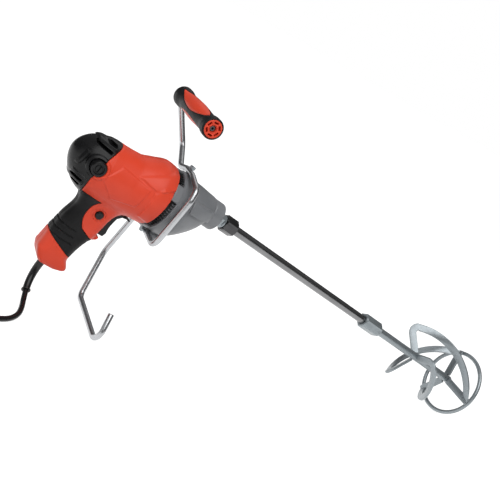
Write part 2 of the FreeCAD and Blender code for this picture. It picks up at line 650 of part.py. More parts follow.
def make_brush_gear():
    """Carbon brushes in their holders, with a round cover at each side of the housing."""
    x = -d.brush_back
    z = -d.motor_drop
    brush_start = d.commutator_dia / 2 + 0.3
    cover_start = brush_cover_start()
    for side, name in ((-1, "right"), (1, "left")):
        def between(low, high):
            return sorted((side * low, side * high))
        near, far = between(brush_start, brush_start + 12)
        node(f"carbon_brush_{name}", box(f"carbon_brush_{name}", (x - 3, near, z - 4.5), (x + 3, far, z + 4.5)))
        near, far = between(brush_start + 2, cover_start)
        holder = box(f"holder_blank_{name}", (x - 4.6, near, z - 6.1), (x + 4.6, far, z + 6.1))
        channel = box(f"holder_channel_{name}", (x - 3.05, near - 1, z - 4.55), (x + 3.05, far + 1, z + 4.55))
        node(f"brush_holder_{name}", cut(f"brush_holder_{name}", holder, channel))
        near, far = between(cover_start, cover_start + 4.5)
        cover = cylinder(f"cover_disc_{name}", "Sizes.brush_cap_dia / 2", "4.5", (x, near, z), ALONG_Y)
        dish_near, dish_far = between(cover_start + 3, cover_start + 5)
        dish = cylinder(f"cover_dish_{name}", "Sizes.brush_cap_dia / 2 - 2", "2", (x, dish_near, z), ALONG_Y)
        slot = box(f"cover_slot_{name}", (x - 4.5, *between(cover_start + 1.8, cover_start + 5)[:1], z - 0.8),
                   (x + 4.5, between(cover_start + 1.8, cover_start + 5)[1], z + 0.8))
        node(f"brush_cap_{name}", cut(f"brush_cap_{name}", cover, dish, slot))


def brush_cover_start():
    """Inner face of the brush covers, set so that they end just inside the barrel."""
    drop = d.rear_drop - d.motor_drop
    return math.sqrt((d.waist_dia / 2 - 1) ** 2 - drop ** 2) - 5.2


# Motor housing


def barrel_sections(inset):
    """Sections of the barrel and its domed end, drawn in by inset: (back, radius, drop)."""
    waist = d.waist_dia / 2
    swell = d.swell_dia / 2
    return [
        (d.rim_back - (1 if inset else 0), d.rim_dia / 2 - inset, d.rim_drop),
        (d.rim_back + 13, swell - inset, d.rim_drop + 0.2),
        (d.rim_back + 31, (swell + waist) / 2 - inset, (d.rim_drop + d.waist_drop) / 2),
        (d.rim_back + 49, waist - inset, d.waist_drop),
        (d.rim_back + 75, waist - inset, d.rear_drop),
        (d.cap_end_back - 29, waist - 1 - inset, d.rear_drop),
        (d.cap_end_back - 16 + inset * 0.4, waist * 0.85 - inset, d.rear_drop - 0.5),
        (d.cap_end_back - 6 + inset * 0.1 - inset, waist * 0.62 - inset, d.rear_drop - 1),
        (d.cap_end_back - inset, waist * 0.3 - inset, d.rear_drop - 1),
    ]


def grip_section(height, rear, front, half, rear_round, front_round):
    """One level of the pistol grip: a rectangle with rounded corners."""
    points = []
    arcs = ((rear, -half, 180, rear_round), (front, -half, 270, front_round),
            (front, half, 0, front_round), (rear, half, 90, rear_round))
    for x, y, angle, radius in arcs:
        centre = Vector(x + radius * (1 if x == rear else -1), y + radius * (1 if y < 0 else -1), height)
        bow = [centre + Vector(math.cos(math.radians(a)), math.sin(math.radians(a)), 0) * radius
               for a in (angle, angle + 45, angle + 90)]
        points.append(bow)
    edges = []
    for number, bow in enumerate(points):
        edges.append(Part.Arc(*bow).toShape())
        edges.append(Part.LineSegment(bow[2], points[(number + 1) % 4][0]).toShape())
    return Part.Wire(edges)


def grip_levels():
    """Levels of the pistol grip: height, rear, front, half width, rear round, front round."""
    half = d.grip_width / 2
    return (
        (-48, -170, -113, half, 15, 12),
        (-66, -172, -116.5, half, 15, 12),
        (-84, -169.5, -119.5, half - 0.5, 15, 12),
        (-105, -173, -121.5, half - 0.5, 15, 12),
        (-120, -174.5, -127, half - 0.5, 15, 12),
        (-136, -176, -131, half, 15, 12),
        (-152, -178, -134, half + 1.5, 15, 12),
        (-166, -171, -130, half + 0.5, 14, 11),
        (-175.5, -160, -128, half - 4, 11, 9),
    )


def grip_form(inset):
    """Pistol grip with its butt, drawn in by inset."""
    levels = grip_levels()
    sections = []
    for number, (height, rear, front, wide, rear_round, front_round) in enumerate(levels):
        lift = inset if number == len(levels) - 1 else 0
        sections.append(grip_section(height + lift, rear + inset, front - inset, wide - inset,
                                     rear_round - inset, front_round - inset))
    return Part.makeLoft(sections, True, True)


def grip_room(name, inset, half):
    """A flat-sided hollow in the grip that follows its side outline."""
    levels = grip_levels()
    lift = [0] * (len(levels) - 1) + [d.shell_wall]
    rear = [(level[1] + inset, level[0] + up) for level, up in zip(levels, lift)]
    front = [(level[2] - inset, level[0] + up) for level, up in zip(levels, lift)]
    return wedge(name, rear + front[::-1], half)


TRIGGER_BACK = -121.0
TRIGGER_TOP = -65.6
TRIGGER_FOOT = -104.0
BUTTON_PLACE = (-140.0, -79.0)
CORD_EXIT = (-154.0, -174.0)
SCREW_PLACES = ((-141, -163), (-128, -108.6), (-113, -58), (-113, 11), (-168, -50))


def cap_region():
    """Everything behind the curved joint line between housing and rear cap."""
    block = box("cap_block", (-d.cap_end_back - 20, -FAR, -FAR), (-d.rim_back - 60, FAR, FAR))
    joint = cylinder("cap_joint", "60", "800", (-d.rim_back - 36, -FAR, -36), ALONG_Y)
    grip_stop = box("cap_stop", (-d.cap_end_back - 30, -FAR, -FAR), (-d.rim_back - 50, FAR, -70.5))
    return cut("cap_region", block, joint, grip_stop)


def rubber_region():
    """Side outline of the overmould, as a block through the grip."""
    top_tip = Vector(-150, -FAR, -63)
    front_dip = Vector(-156.5, -FAR, -85)
    front_low = Vector(-147, -FAR, -105)
    corners = [Vector(-190, -FAR, -63), top_tip, front_low, Vector(-110, -FAR, -120),
               Vector(-110, -FAR, -170), Vector(-190, -FAR, -115)]
    edges = [Part.LineSegment(corners[0], corners[1]).toShape(), Part.Arc(top_tip, front_dip, front_low).toShape()]
    for start, end in zip(corners[2:], corners[3:] + corners[:1]):
        edges.append(Part.LineSegment(start, end).toShape())
    return feature("rubber_region", Part.Face(Part.Wire(edges)).extrude(Vector(0, 2 * FAR, 0)))


def make_housing():
    """Clamshell halves, rear cap and the two rubber pads, all cut from the same forms."""
    outer = circle_loft("barrel_form", barrel_sections(0))
    inner = circle_loft("barrel_inner", barrel_sections(d.shell_wall))
    skin = circle_loft("barrel_skin", barrel_sections(d.rubber_depth))
    grip = feature("grip_form", grip_form(0))
    side_wall = d.grip_width / 2 - 0.5 - d.shell_wall
    wide_room = grip_room("grip_wide_room", 3 * d.shell_wall, side_wall - 2)
    long_room = grip_room("grip_long_room", d.shell_wall + 0.5, d.switch_width / 2 + d.trigger_gap)
    grip_skin = feature("grip_skin", grip_form(d.rubber_depth))
    beak = wedge("grip_beak", [(-131, -103), (-117.5, -107), (-118.5, -110.5), (-131, -121)], 9)
    region = cap_region()
    rear = box("cap_side", (-d.cap_end_back - 20, -FAR, -FAR), (-d.rim_back - 60, FAR, FAR))

    # Ribs that carry the stator and bosses that take the screws
    y, z = MOTOR_AXIS
    ribs = []
    for number, back in enumerate((d.core_back - 2, d.core_back - d.core_length + 7)):
        slab = box(f"rib_slab_{number}", (-back, -FAR, -69), (-back + 5, FAR, FAR))
        hole = cylinder(f"rib_hole_{number}", "Sizes.stator_od / 2 + Sizes.seat_gap", "5", (-back, y, z))
        ribs.append(cut(f"rib_{number}", slab, hole))
    hollow = fuse("housing_hollow", cut("barrel_hollow", inner, *ribs), wide_room, long_room)
    bosses = []
    for number, (x, height) in enumerate(SCREW_PLACES):
        bosses.append(cylinder(f"screw_boss_{number}", "Sizes.screw_dia + 0.4", "2 * 30", (x, -30, height), ALONG_Y))
    bossed = cut("bossed_hollow", hollow, *bosses)

    form = fuse("housing_form", outer, grip, beak)
    body = cut("housing_body", form, region)
    trigger_half = d.trigger_width / 2 + d.trigger_gap
    trigger_slot = box("trigger_slot", (TRIGGER_BACK - d.trigger_travel - 1, -trigger_half, TRIGGER_FOOT - 1),
                       (-100, trigger_half, TRIGGER_TOP + 0.5))
    x, height = BUTTON_PLACE
    button_hole = cylinder("button_hole", "Sizes.button_dia / 2 + 2 * Sizes.running_gap", "30", (x, -40, height), ALONG_Y)
    button_ring = cylinder("button_ring", "Sizes.button_dia / 2 + 3", "5", (x, -d.grip_width / 2 - 4.2, height), ALONG_Y)
    x, height = CORD_EXIT
    cord_hole = cylinder("cord_hole", "Sizes.relief_dia / 2 + Sizes.seat_gap", "30", (x, 0, height - 8), UPRIGHT)
    cover_hole = cylinder("cover_hole", "Sizes.brush_cap_dia / 2 + 0.1", "120", (-d.brush_back, -60, -d.motor_drop), ALONG_Y)
    core = fuse("rubber_core", skin, grip_skin)
    pad_region = cut("pad_region", rubber_region(), region)
    pocket_tool = cut("rubber_pocket", pad_region, core)
    rubber = cut("rubber_full", common("rubber_block", form, pad_region), core)
    screw_holes = []
    for number, (x, height) in enumerate(SCREW_PLACES):
        screw_holes.append(cylinder(f"screw_hole_{number}", "Sizes.screw_dia / 2 + Sizes.seat_gap", "60", (x, -10, height), ALONG_Y))
        screw_holes.append(cylinder(f"screw_sink_{number}", "Sizes.screw_dia + Sizes.seat_gap", "60", (x, 10, height), ALONG_Y))
    openings = fuse("housing_openings", trigger_slot, button_hole, button_ring, cord_hole, cover_hole, *screw_holes)
    shell = cut("housing_shell", body, bossed, pocket_tool, openings)
    for name, low, high in (("right", -FAR, 0), ("left", 0, FAR)):
        side = box(f"side_{name}", (-FAR, low, -FAR), (FAR, high, FAR))
        node(f"housing_{name}", common(f"housing_{name}", shell, side))
        node(f"grip_rubber_{name}", common(f"grip_rubber_{name}", rubber, side))

    cap_blank = common("cap_blank", outer, region)
    end_wall = box("cap_end_wall", (-d.cap_end_back - 20, -FAR, -FAR), (-d.rear_bearing_back - 1, FAR, FAR))
    seat = cylinder("cap_bearing_boss", "Sizes.motor_bearing_od / 2 + 3", "9", (-d.rear_bearing_back - 2, y, z))
    cap_hollow = cut("cap_hollow", cut("cap_room", inner, end_wall), seat)
    pocket = cylinder("cap_bearing_pocket", "Sizes.motor_bearing_od / 2 + Sizes.seat_gap", "30", (-d.rear_bearing_back, y, z))
    slots = cap_slots()
    node("rear_cap", cut("rear_cap", cap_blank, cap_hollow, pocket, cover_hole, *slots))

    screws = []
    for x, height in SCREW_PLACES:
        shank = Part.makeCylinder(d.screw_dia / 2, 19, Vector(x, -9, height), Vector(0, 1, 0))
        head = Part.makeCylinder(d.screw_dia, 3, Vector(x, 10, height), Vector(0, 1, 0))
        screws.append(shank.fuse(head).removeSplitter())
    node("housing_screws", feature("housing_screws", Part.makeCompound(screws)))


def cap_slots():
    """Cooling slots of the rear cap: two long ones high on each side, short ones round the end."""
    slots = []
    for number, (height, low, high) in enumerate(((-4, 176, 204), (-13, 182, 208), (-47, 190, 206), (-55, 184, 200))):
        slots.append(box(f"cap_slot_{number}", (-high, -FAR, height - 1.5), (-low, FAR, height + 1.5)))
    return slots


def make_controls():
    """Trigger, switch behind it and the lock-on button."""
    outline = [(TRIGGER_BACK, TRIGGER_FOOT), (-114.5, TRIGGER_FOOT + 0.5), (-113, -98), (-114.5, -86), (-113.5, -74),
               (-109, -69), (-103, -67.8), (-98, -69.2), (-97, -67.5), (-101, TRIGGER_TOP), (TRIGGER_BACK, TRIGGER_TOP)]
    node("trigger", wedge("trigger", outline, d.trigger_width / 2))
    front = TRIGGER_BACK - d.trigger_travel - d.trigger_gap
    half = d.switch_width / 2
    node("switch_body", box("switch_body", (front - 24, -half, -104), (front, half, -72)))
    x, height = BUTTON_PLACE
    inner = -half - d.trigger_gap - d.button_travel
    outer = -d.grip_width / 2 - 1
    node("lock_on_button", cylinder("lock_on_button", "Sizes.button_dia / 2", str(inner - outer), (x, outer, height), ALONG_Y))


# Carrying rod and hand grip


def rod_points():
    """Corners of the bent rod from inside the hand grip to the free end of the foot."""
    plane = -d.rod_plane
    foot = -d.foot_back
    grip_x = -d.hand_grip_back
    near = d.hand_grip_left - d.hand_grip_length / 2
    far = d.hand_grip_left + d.hand_grip_length / 2
    return [
        Vector(grip_x, near + 22, d.hand_grip_rise),
        Vector(grip_x, far + 11, d.hand_grip_rise),
        Vector(plane, far + 3, 42),
        Vector(plane, 33, rod_top - 5.5),
        Vector(plane, 14, rod_top),
        Vector(plane, -8, rod_top),
        Vector(plane, -d.rod_near + 6, rod_top - 7),
        Vector(plane, -d.rod_near, rod_top - 22),
        Vector(plane, -d.rod_near, -d.rod_under),
        Vector(foot, d.foot_left + 26, -d.rod_under),
        Vector(foot, d.foot_left + 29, -d.foot_drop + 64),
        Vector(foot, d.foot_left, -d.foot_drop),
        Vector(foot, -d.foot_right, -d.foot_drop),
        Vector(foot, -d.foot_right + 19, -d.foot_drop + 38),
    ]


def make_rod():
    """The bent rod with its two bolts."""
    path = bent_path(rod_points(), lambda number, runs, turn: rod_radius(number))
    rod = tube(path, d.rod_dia)
    hole = d.bolt_dia / 2 + d.seat_gap
    under = -d.rod_under
    top_hole = Part.makeCylinder(hole, 30, Vector(-d.rod_plane, top_bolt_y, rod_top - 15), Vector(0, 0, 1))
    low_hole = Part.makeCylinder(hole, 30, Vector(rod_under_x - 15, 0, under), Vector(1, 0, 0))
    node("carrying_rod", feature("carrying_rod", rod.cut(top_hole).cut(low_hole)))

    head = d.bolt_dia * 0.9
    seat = rod_top + d.rod_dia / 2 + 0.3
    shank = Part.makeCylinder(d.bolt_dia / 2, seat + 1 - 15.5, Vector(-d.rod_plane, top_bolt_y, 15.5))
    cap = hex_head(Vector(-d.rod_plane, top_bolt_y, seat), Vector(0, 0, 1), head)
    node("top_bolt", feature("top_bolt", shank.fuse(cap).removeSplitter()))
    seat = rod_under_x - d.rod_dia / 2 - 0.3
    shank = Part.makeCylinder(d.bolt_dia / 2, 22, Vector(seat - 1, 0, under), Vector(1, 0, 0))
    cap = hex_head(Vector(seat, 0, under), Vector(-1, 0, 0), head)
    node("lower_bolt", feature("lower_bolt", shank.fuse(cap).removeSplitter()))


def rod_radius(number):
    """Bend radius at a corner of the rod: tighter at the hand grip, wider at the slight bends."""
    return {1: d.rod_bend * 0.75, 5: d.rod_bend * 2, 10: d.rod_bend * 2.5}.get(number, d.rod_bend)


def hex_head(seat, way, radius):
    """A hexagon bolt head standing on its seat."""
    corners = []
    turn = Rotation(Vector(0, 0, 1), way)
    for step in range(6):
        angle = math.radians(60 * step)
        corners.append(seat + turn.multVec(Vector(radius * math.cos(angle), radius * math.sin(angle), 0)))
    face = Part.Face(Part.makePolygon(corners + corners[:1]))
    return face.extrude(way * (d.bolt_dia * 0.8))


def grip_profile(inset):
    """Half outline of the hand grip, as (distance along the grip, radius), flared at both ends."""
    end = d.hand_grip_length / 2
    flare = d.hand_grip_dia / 2 - inset
    return [(-end, flare - 0.8), (-end + 2, flare), (-end + 9, flare), (-end + 22, flare - 1.7),
            (0, flare - 0.5), (end - 22, flare - 1.7), (end - 9, flare), (end - 2, flare), (end, flare - 0.8)]


def turned_grip(inset, bore):
    """The hand grip turned round its rod: a smooth waist between two flares."""
    profile = grip_profile(inset)
    centre = Vector(-d.hand_grip_back, d.hand_grip_left, d.hand_grip_rise)
    points = [centre + Vector(0, along, radius) for along, radius in profile]
    curve = Part.BSplineCurve()
    curve.interpolate(points[2:7])
    edges = [Part.makePolygon(points[:3]).Edges[0], Part.makePolygon(points[:3]).Edges[1], curve.toShape()]
    edges += Part.makePolygon(points[6:]).Edges
    inner_start = centre + Vector(0, profile[0][0], bore)
    inner_end = centre + Vector(0, profile[-1][0], bore)
    edges.append(Part.LineSegment(points[-1], inner_end).toShape())
    edges.append(Part.LineSegment(inner_end, inner_start).toShape())
    edges.append(Part.LineSegment(inner_start, points[0]).toShape())
    face = Part.Face(Part.Wire(edges))
    return face.revolve(centre, Vector(0, 1, 0), 360)


def lens_window(side):
    """Lens-shaped window in the rubber, at the rear-upper or the front-lower side of the grip."""
    long_half = d.hand_grip_length * 0.33
    wide_half = d.hand_grip_dia * 0.36
    centre = Vector(-d.hand_grip_back, d.hand_grip_left, d.hand_grip_rise)
    tips = [centre + Vector(0, -long_half, 0), centre + Vector(0, long_half, 0)]
    edges = [Part.Arc(tips[0], centre + Vector(wide_half, 0, 0), tips[1]).toShape(),
             Part.Arc(tips[1], centre + Vector(-wide_half, 0, 0), tips[0]).toShape()]
    block = Part.Face(Part.Wire(edges)).extrude(Vector(0, 0, side * d.hand_grip_dia))
    block.rotate(centre, Vector(0, 1, 0), -25)
    return block


def make_hand_grip():
    """Red core with the lens-shaped pads and end disc, the rubber sleeve over it, and its bolt."""
    bore = d.rod_dia / 2 + d.seat_gap
    skin = 1.6
    whole = turned_grip(0, bore)
    core = turned_grip(skin, bore)
    windows = lens_window(1).fuse(lens_window(-1))
    centre = Vector(-d.hand_grip_back, d.hand_grip_left, d.hand_grip_rise)
    half = d.hand_grip_length / 2
    sleeve = whole.cut(core).cut(windows)
    sleeve = sleeve.Solids[0] if len(sleeve.Solids) == 1 else max(sleeve.Solids, key=lambda item: item.Volume)
    node("hand_grip_sleeve", feature("hand_grip_sleeve", sleeve))
    pads = whole.cut(turned_grip(skin + 0.6, bore)).common(windows)
    slots = []
    for number in range(6):
        slot = Part.makeBox(5.2, 3, 1.8, centre + Vector(-2.6, -half - 1, 6.2))
        slot.rotate(centre, Vector(0, 1, 0), 60 * number + 20)
        slots.append(slot)
    core = core.fuse(pads).cut(Part.makeCompound(slots)).removeSplitter()
    node("hand_grip_core", feature("hand_grip_core", core))
    rod_end = -half + 22
    shank = Part.makeCylinder(d.rod_dia / 2 - 0.5, rod_end + half - 3, centre + Vector(0, -half + 3, 0), Vector(0, 1, 0))
    socket = Part.makeCylinder(1.6, 8, centre + Vector(0, -half + 2.9, 0), Vector(0, 1, 0))
    node("hand_grip_bolt", feature("hand_grip_bolt", shank.cut(socket)))


# Standing placement


def standing_turn():
    """Nose-down angle at which the foot and the hoop touch the floor together."""
    span = d.paddle_reach + d.foot_back
    drop = d.foot_drop - (d.paddle_dia - d.hoop_bar) / 2
    return math.atan2(drop, span) + math.asin((d.rod_dia - d.hoop_bar) / 2 / math.hypot(span, drop))


TILT = standing_turn()


def stand_everything():
    """Place all pieces standing, with the origin under the middle of the tool's box."""
    turn = Rotation(Vector(0, 1, 0), math.degrees(TILT))
    boxes = []
    for label, item in NODES.items():
        if label in CORD_NODES:
            continue
        shape = item.Shape.copy()
        shape.Placement = Placement(Vector(), turn).multiply(shape.Placement)
        boxes.append(shape.optimalBoundingBox(False))
    low = Vector(min(b.XMin for b in boxes), min(b.YMin for b in boxes), min(b.ZMin for b in boxes))
    high_x = max(b.XMax for b in boxes)
    high_y = max(b.YMax for b in boxes)
    stand = Placement(Vector(-(low.x + high_x) / 2, -(low.y + high_y) / 2, -low.z), turn)
    for item in NODES.values():
        item.Placement = stand.multiply(item.Placement)
    return stand


# Mains lead


def relief_path():
    """Bend relief: straight out of the butt, then curving towards the tool's right."""
    x, height = CORD_EXIT
    start = Vector(x, 0, height + 12)
    knee = Vector(x, 0, height - 4)
    turn = math.radians(60)
    end = knee + Vector(0, -d.relief_radius * (1 - math.cos(turn)), -d.relief_radius * math.sin(turn))
    path = Part.Wire([Part.LineSegment(start, knee).toShape(), arc_between(knee, Vector(0, 0, -1), end)])
    way = Vector(0, -math.sin(turn), -math.cos(turn))
    return path, end, way


def make_relief():
    path, end, way = relief_path()
    sleeve = tube(path, d.relief_dia)
    collar = Part.makeCylinder(d.relief_dia / 2 + 0.9, 2.6, end - way * 2.6, way)
    node("bend_relief", feature("bend_relief", sleeve.fuse(collar).removeSplitter()))


def cord_points(start, way, level):
    """Free stretch of the cord on the floor, from the bend relief to the coil, chosen by hand."""
    steps = ((-4, -27.5, 0.27), (-9, -42.5, 0.1), (-20, -55, 0), (-36, -62, 0), (-54, -63, 0), (-72, -60, 0),
             (-90, -55.5, 0), (-108, -53, 0), (-126, -52.5, 0))
    fall = start.z - level
    points = [start, start + way * 15]
    for x, y, height in steps:
        points.append(Vector(start.x + x, start.y + y, level + fall * height))
    return points


def biarc(start, tangent, end, end_tangent):
    """Two tangent arcs between two points with given tangents."""
    gap = end - start
    both = tangent + end_tangent
    flat = 2 * (1 - tangent.dot(end_tangent))
    along = gap.dot(both)
    reach = (-along + math.sqrt(along ** 2 + flat * gap.dot(gap))) / flat
    joint = (start + end + (tangent - end_tangent) * reach) * 0.5
    joint_way = (joint - start - tangent * reach).normalize()
    return [arc_between(start, tangent, joint), arc_between(joint, joint_way, end)]


def coil_place(turn_share, centre, level):
    """Point of the coil after this many turns, from the outside of the lower layer inwards and out again."""
    turns = d.coil_turns_per_layer
    outer = d.coil_inner_radius + turns * d.coil_pitch
    if turn_share <= turns:
        radius, height = outer - turn_share * d.coil_pitch, 0.0
    elif turn_share <= turns + 0.5:
        climb = (turn_share - turns) / 0.5
        radius = d.coil_inner_radius - 0.15 * d.coil_pitch * math.sin(math.pi * climb)
        height = d.coil_pitch * climb ** 2 * (3 - 2 * climb)
    else:
        radius, height = d.coil_inner_radius + (turn_share - turns - 0.5) * d.coil_pitch, d.coil_pitch
    angle = -math.pi / 2 - 2 * math.pi * turn_share
    return centre + Vector(radius * math.cos(angle), radius * math.sin(angle), level + height)


def coil_path(centre, level):
    """The coil on biarcs of a quarter turn, with a straight lead in and out."""
    turns = d.coil_turns_per_layer
    total = 2 * turns + 0.5
    shares = [step / 4 for step in range(round(total * 4) + 1)]
    shares = sorted(set(shares + [turns + step / 8 for step in range(5)]))
    count = len(shares) - 1
    places = [coil_place(share, centre, level) for share in shares]
    ways = []
    for share in shares:
        after = coil_place(share + 0.02, centre, level)
        before = coil_place(share - 0.02, centre, level)
        ways.append((after - before).normalize())
    ways[0] = Vector(-1, 0, 0)
    ways[-1] = Vector(-1, 0, 0)
    lead_in = places[0] - ways[0] * d.cord_dia
    edges = [Part.LineSegment(lead_in, places[0]).toShape()]
    for step in range(count):
        edges += biarc(places[step], ways[step], places[step + 1], ways[step + 1])
    lead_out = places[-1] + ways[-1] * (4 * d.cord_dia)
    edges.append(Part.LineSegment(places[-1], lead_out).toShape())
    return Part.Wire(edges), lead_in, lead_out, ways[-1]


def least_gap(path, diameter):
    """Smallest distance between stretches of the same cord, less its diameter."""
    points = path.discretize(Distance=3.0)
    skip = math.ceil(8 * diameter / 3.0)
    least = min(a.distanceToPoint(b) for i, a in enumerate(points) for b in points[i + skip:])
    return least - diameter


def make_mains_lead(stand):
    """Cord, coil, tie and plug, laid on the floor the tool stands on."""
    path, end, way = relief_path()
    start = stand.multVec(end)
    way = stand.Rotation.multVec(way)
    level = d.cord_dia / 2 + 0.1
    coil_level = d.cord_dia / 2 + d.tie_thickness + 0.3
    points = cord_points(start, way, level)
    points[-1].z = coil_level
    outer = d.coil_inner_radius + d.coil_turns_per_layer * d.coil_pitch
    centre = points[-1] + Vector(-d.cord_dia, outer, 0)
    centre.z = 0
    wire, lead_in, lead_out, out_way = coil_path(centre, coil_level)
    points[-1] = lead_in

    def largest_radius(number, runs, turn):
        radius = 0.45 * min(runs) / math.tan(turn / 2)
        print(f"cord bend {number}: radius {radius:.0f} mm")
        return radius

    free = bent_path(points, largest_radius)
    node("power_cord", feature("power_cord", tube(free, d.cord_dia)))
    node("cord_coil", feature("cord_coil", tube(wire, d.cord_dia)))
    print(f"cord: free {free.Length:.0f} mm, coil {wire.Length:.0f} mm, least gap in coil {least_gap(wire, d.cord_dia):.2f} mm")

    inner = d.coil_inner_radius - d.cord_dia / 2 - 0.4
    wide = d.coil_turns_per_layer * d.coil_pitch + d.cord_dia + 0.8
    low = coil_level - d.cord_dia / 2 - 0.2
    tall = d.coil_pitch + d.cord_dia + 0.4
    strap = d.tie_thickness
    hole = Part.makeBox(wide, 12, tall, centre + Vector(inner, -6, low))
    band = Part.makeBox(wide + 2 * strap, 8, tall + 2 * strap, centre + Vector(inner - strap, -4, low - strap))
    node("coil_tie", feature("coil_tie", band.cut(hole)))

    turn = Rotation(Vector(1, 0, 0), out_way)
    place = Placement(lead_out, turn)
    height = lead_out.z
    sleeve = Part.makeCone(5.2, 7.5, 16, Vector(0, 0, 0), Vector(1, 0, 0))
    body = Part.makeCylinder(13, 30, Vector(16, 0, 0), Vector(1, 0, 0))
    trim = Part.makeBox(60, 60, 60, Vector(0, -30, -60 - height + 0.2))
    trim_top = Part.makeBox(60, 60, 60, Vector(0, -30, height - 0.2))
    plug = sleeve.fuse(body).cut(trim).cut(trim_top).removeSplitter()
    plug_item = feature("plug_body", plug)
    plug_item.Placement = place
    node("plug_body", plug_item)
    pins = [Part.makeCylinder(2.4, 19, Vector(46, side * 9.5, 0), Vector(1, 0, 0)) for side in (-1, 1)]
    pin_item = feature("plug_pins", Part.makeCompound(pins))
    pin_item.Placement = place
    node("plug_pins", pin_item)


def check_and_write():
    """Stop on any failed object, then write one file for each sub-part."""
    doc.recompute()
    for item in doc.Objects:
        if "Invalid" in item.State or "Error" in item.State:
            raise RuntimeError(f"{item.Label}: {item.State}")
    os.makedirs("parts", exist_ok=True)
    for label, item in NODES.items():
        shape = item.Shape
        if shape.isNull() or not shape.isValid():
            raise RuntimeError(f"{label}: no valid shape")
        shape.exportStep(f"parts/{label}.step")


def main():
    make_gear_train()
    make_spindle()
    make_shafts()
    make_paddle_head()
    make_gear_casting()
    make_louvre_ring()
    make_motor()
    make_brush_gear()
    make_housing()
    make_controls()
    make_rod()
    make_hand_grip()
    make_relief()
    doc.recompute()
    stand = stand_everything()
    make_mains_lead(stand)
    check_and_write()
    print("stand", stand.Base, math.degrees(TILT), "idler", IDLER_AXIS, "solids", {
        label: len(item.Shape.Solids) for label, item in NODES.items() if len(item.Shape.Solids) != 1})


main()
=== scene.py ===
"""Looks of a hand-held mixing drill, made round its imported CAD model.

Pieces are drawn in the tool's own frame, in millimetres: X runs along the spindle from the nose end to the
paddle, Y to the tool's left, Z away from the pistol grip. STAND then sets them on the floor, in metres.
Moulded and cast pieces are fields, negative inside, that field_mesh turns into closed meshes.
"""
import functools
import json
import math

import bmesh
import bpy
import numpy as np
from bpy.props import FloatProperty, FloatVectorProperty, PointerProperty
from mathutils import Matrix, Vector


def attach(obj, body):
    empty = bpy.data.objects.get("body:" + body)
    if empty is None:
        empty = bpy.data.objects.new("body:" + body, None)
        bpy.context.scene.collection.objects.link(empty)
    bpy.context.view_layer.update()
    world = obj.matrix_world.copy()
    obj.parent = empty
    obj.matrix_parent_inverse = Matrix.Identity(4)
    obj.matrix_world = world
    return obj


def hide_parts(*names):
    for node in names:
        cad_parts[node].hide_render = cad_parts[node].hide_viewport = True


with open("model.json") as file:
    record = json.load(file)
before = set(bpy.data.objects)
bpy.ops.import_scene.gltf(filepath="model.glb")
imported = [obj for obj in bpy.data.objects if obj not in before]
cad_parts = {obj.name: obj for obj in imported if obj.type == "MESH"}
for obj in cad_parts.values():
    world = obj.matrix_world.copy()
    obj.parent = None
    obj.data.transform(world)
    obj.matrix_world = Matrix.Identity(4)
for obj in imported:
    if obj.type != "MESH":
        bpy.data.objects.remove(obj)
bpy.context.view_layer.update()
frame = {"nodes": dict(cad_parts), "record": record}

bl_info = {
    "name": "Mixing drill looks",
    "version": (1, 0, 0),
    "blender": (4, 5, 0),
    "location": "3D View > Sidebar > Mixing drill",
    "description": "Builds the visible pieces of a mixing drill round its CAD frame",
    "category": "Object",
}

TAU = 2 * math.pi
MM = 0.001
PER_METRE = 1000


def standing():
    """Matrix from the tool's frame in millimetres to the standing frame in metres."""
    joint = next(j for j in frame["record"]["behaviour"]["joints"] if j["name"] == "paddle_spin")
    along = Vector(joint["axis"]).normalized()
    left = Vector((0, 1, 0))
    turn = Matrix((along, left, along.cross(left))).transposed().to_4x4()
    return Matrix.Translation(joint["pos_m"]) @ turn @ Matrix.Scale(MM, 4)


STAND = standing()


# Properties


def length(name, description, value, **more):
    return FloatProperty(name=name, description=description, default=value, unit="LENGTH", **more)


def colour(name, description, value):
    return FloatVectorProperty(name=name, description=description, default=value, subtype="COLOR", size=3,
                               min=0.0, max=1.0)


class DrillSizes(bpy.types.PropertyGroup):
    """Sizes that the pieces are drawn with."""
    shell_wall: length("Shell wall", "Wall of the moulded housing", 0.003)
    seam: length("Seam", "Half of the gap between neighbouring mouldings", 0.00015)
    edge_round: length("Edge round", "Rounding of moulded edges", 0.0006)
    rubber_depth: length("Rubber depth", "How deep the overmould is let in", 0.0016)
    groove_depth: length("Groove depth", "Depth of the grooves in the rubber", 0.0011)
    panel_rise: length("Panel rise", "How far the side panels stand proud", 0.0011)
    field_step: length("Field step", "Grid of the large mouldings", 0.0011, min=0.0005)
    rod_diameter: length("Rod", "Diameter of the bent rod", 0.008)
    shaft_diameter: length("Shaft", "Diameter of both paddle shafts", 0.0135)
    hex_flats: length("Hexagons", "Across the flats of lock nut and coupler", 0.022)
    cord_diameter: length("Cord", "Diameter of the mains cord", 0.007)
    vane_pitch: FloatProperty(name="Louvres", description="Degrees from vane to vane of the louvred ring",
                              default=5.6, min=2.0)


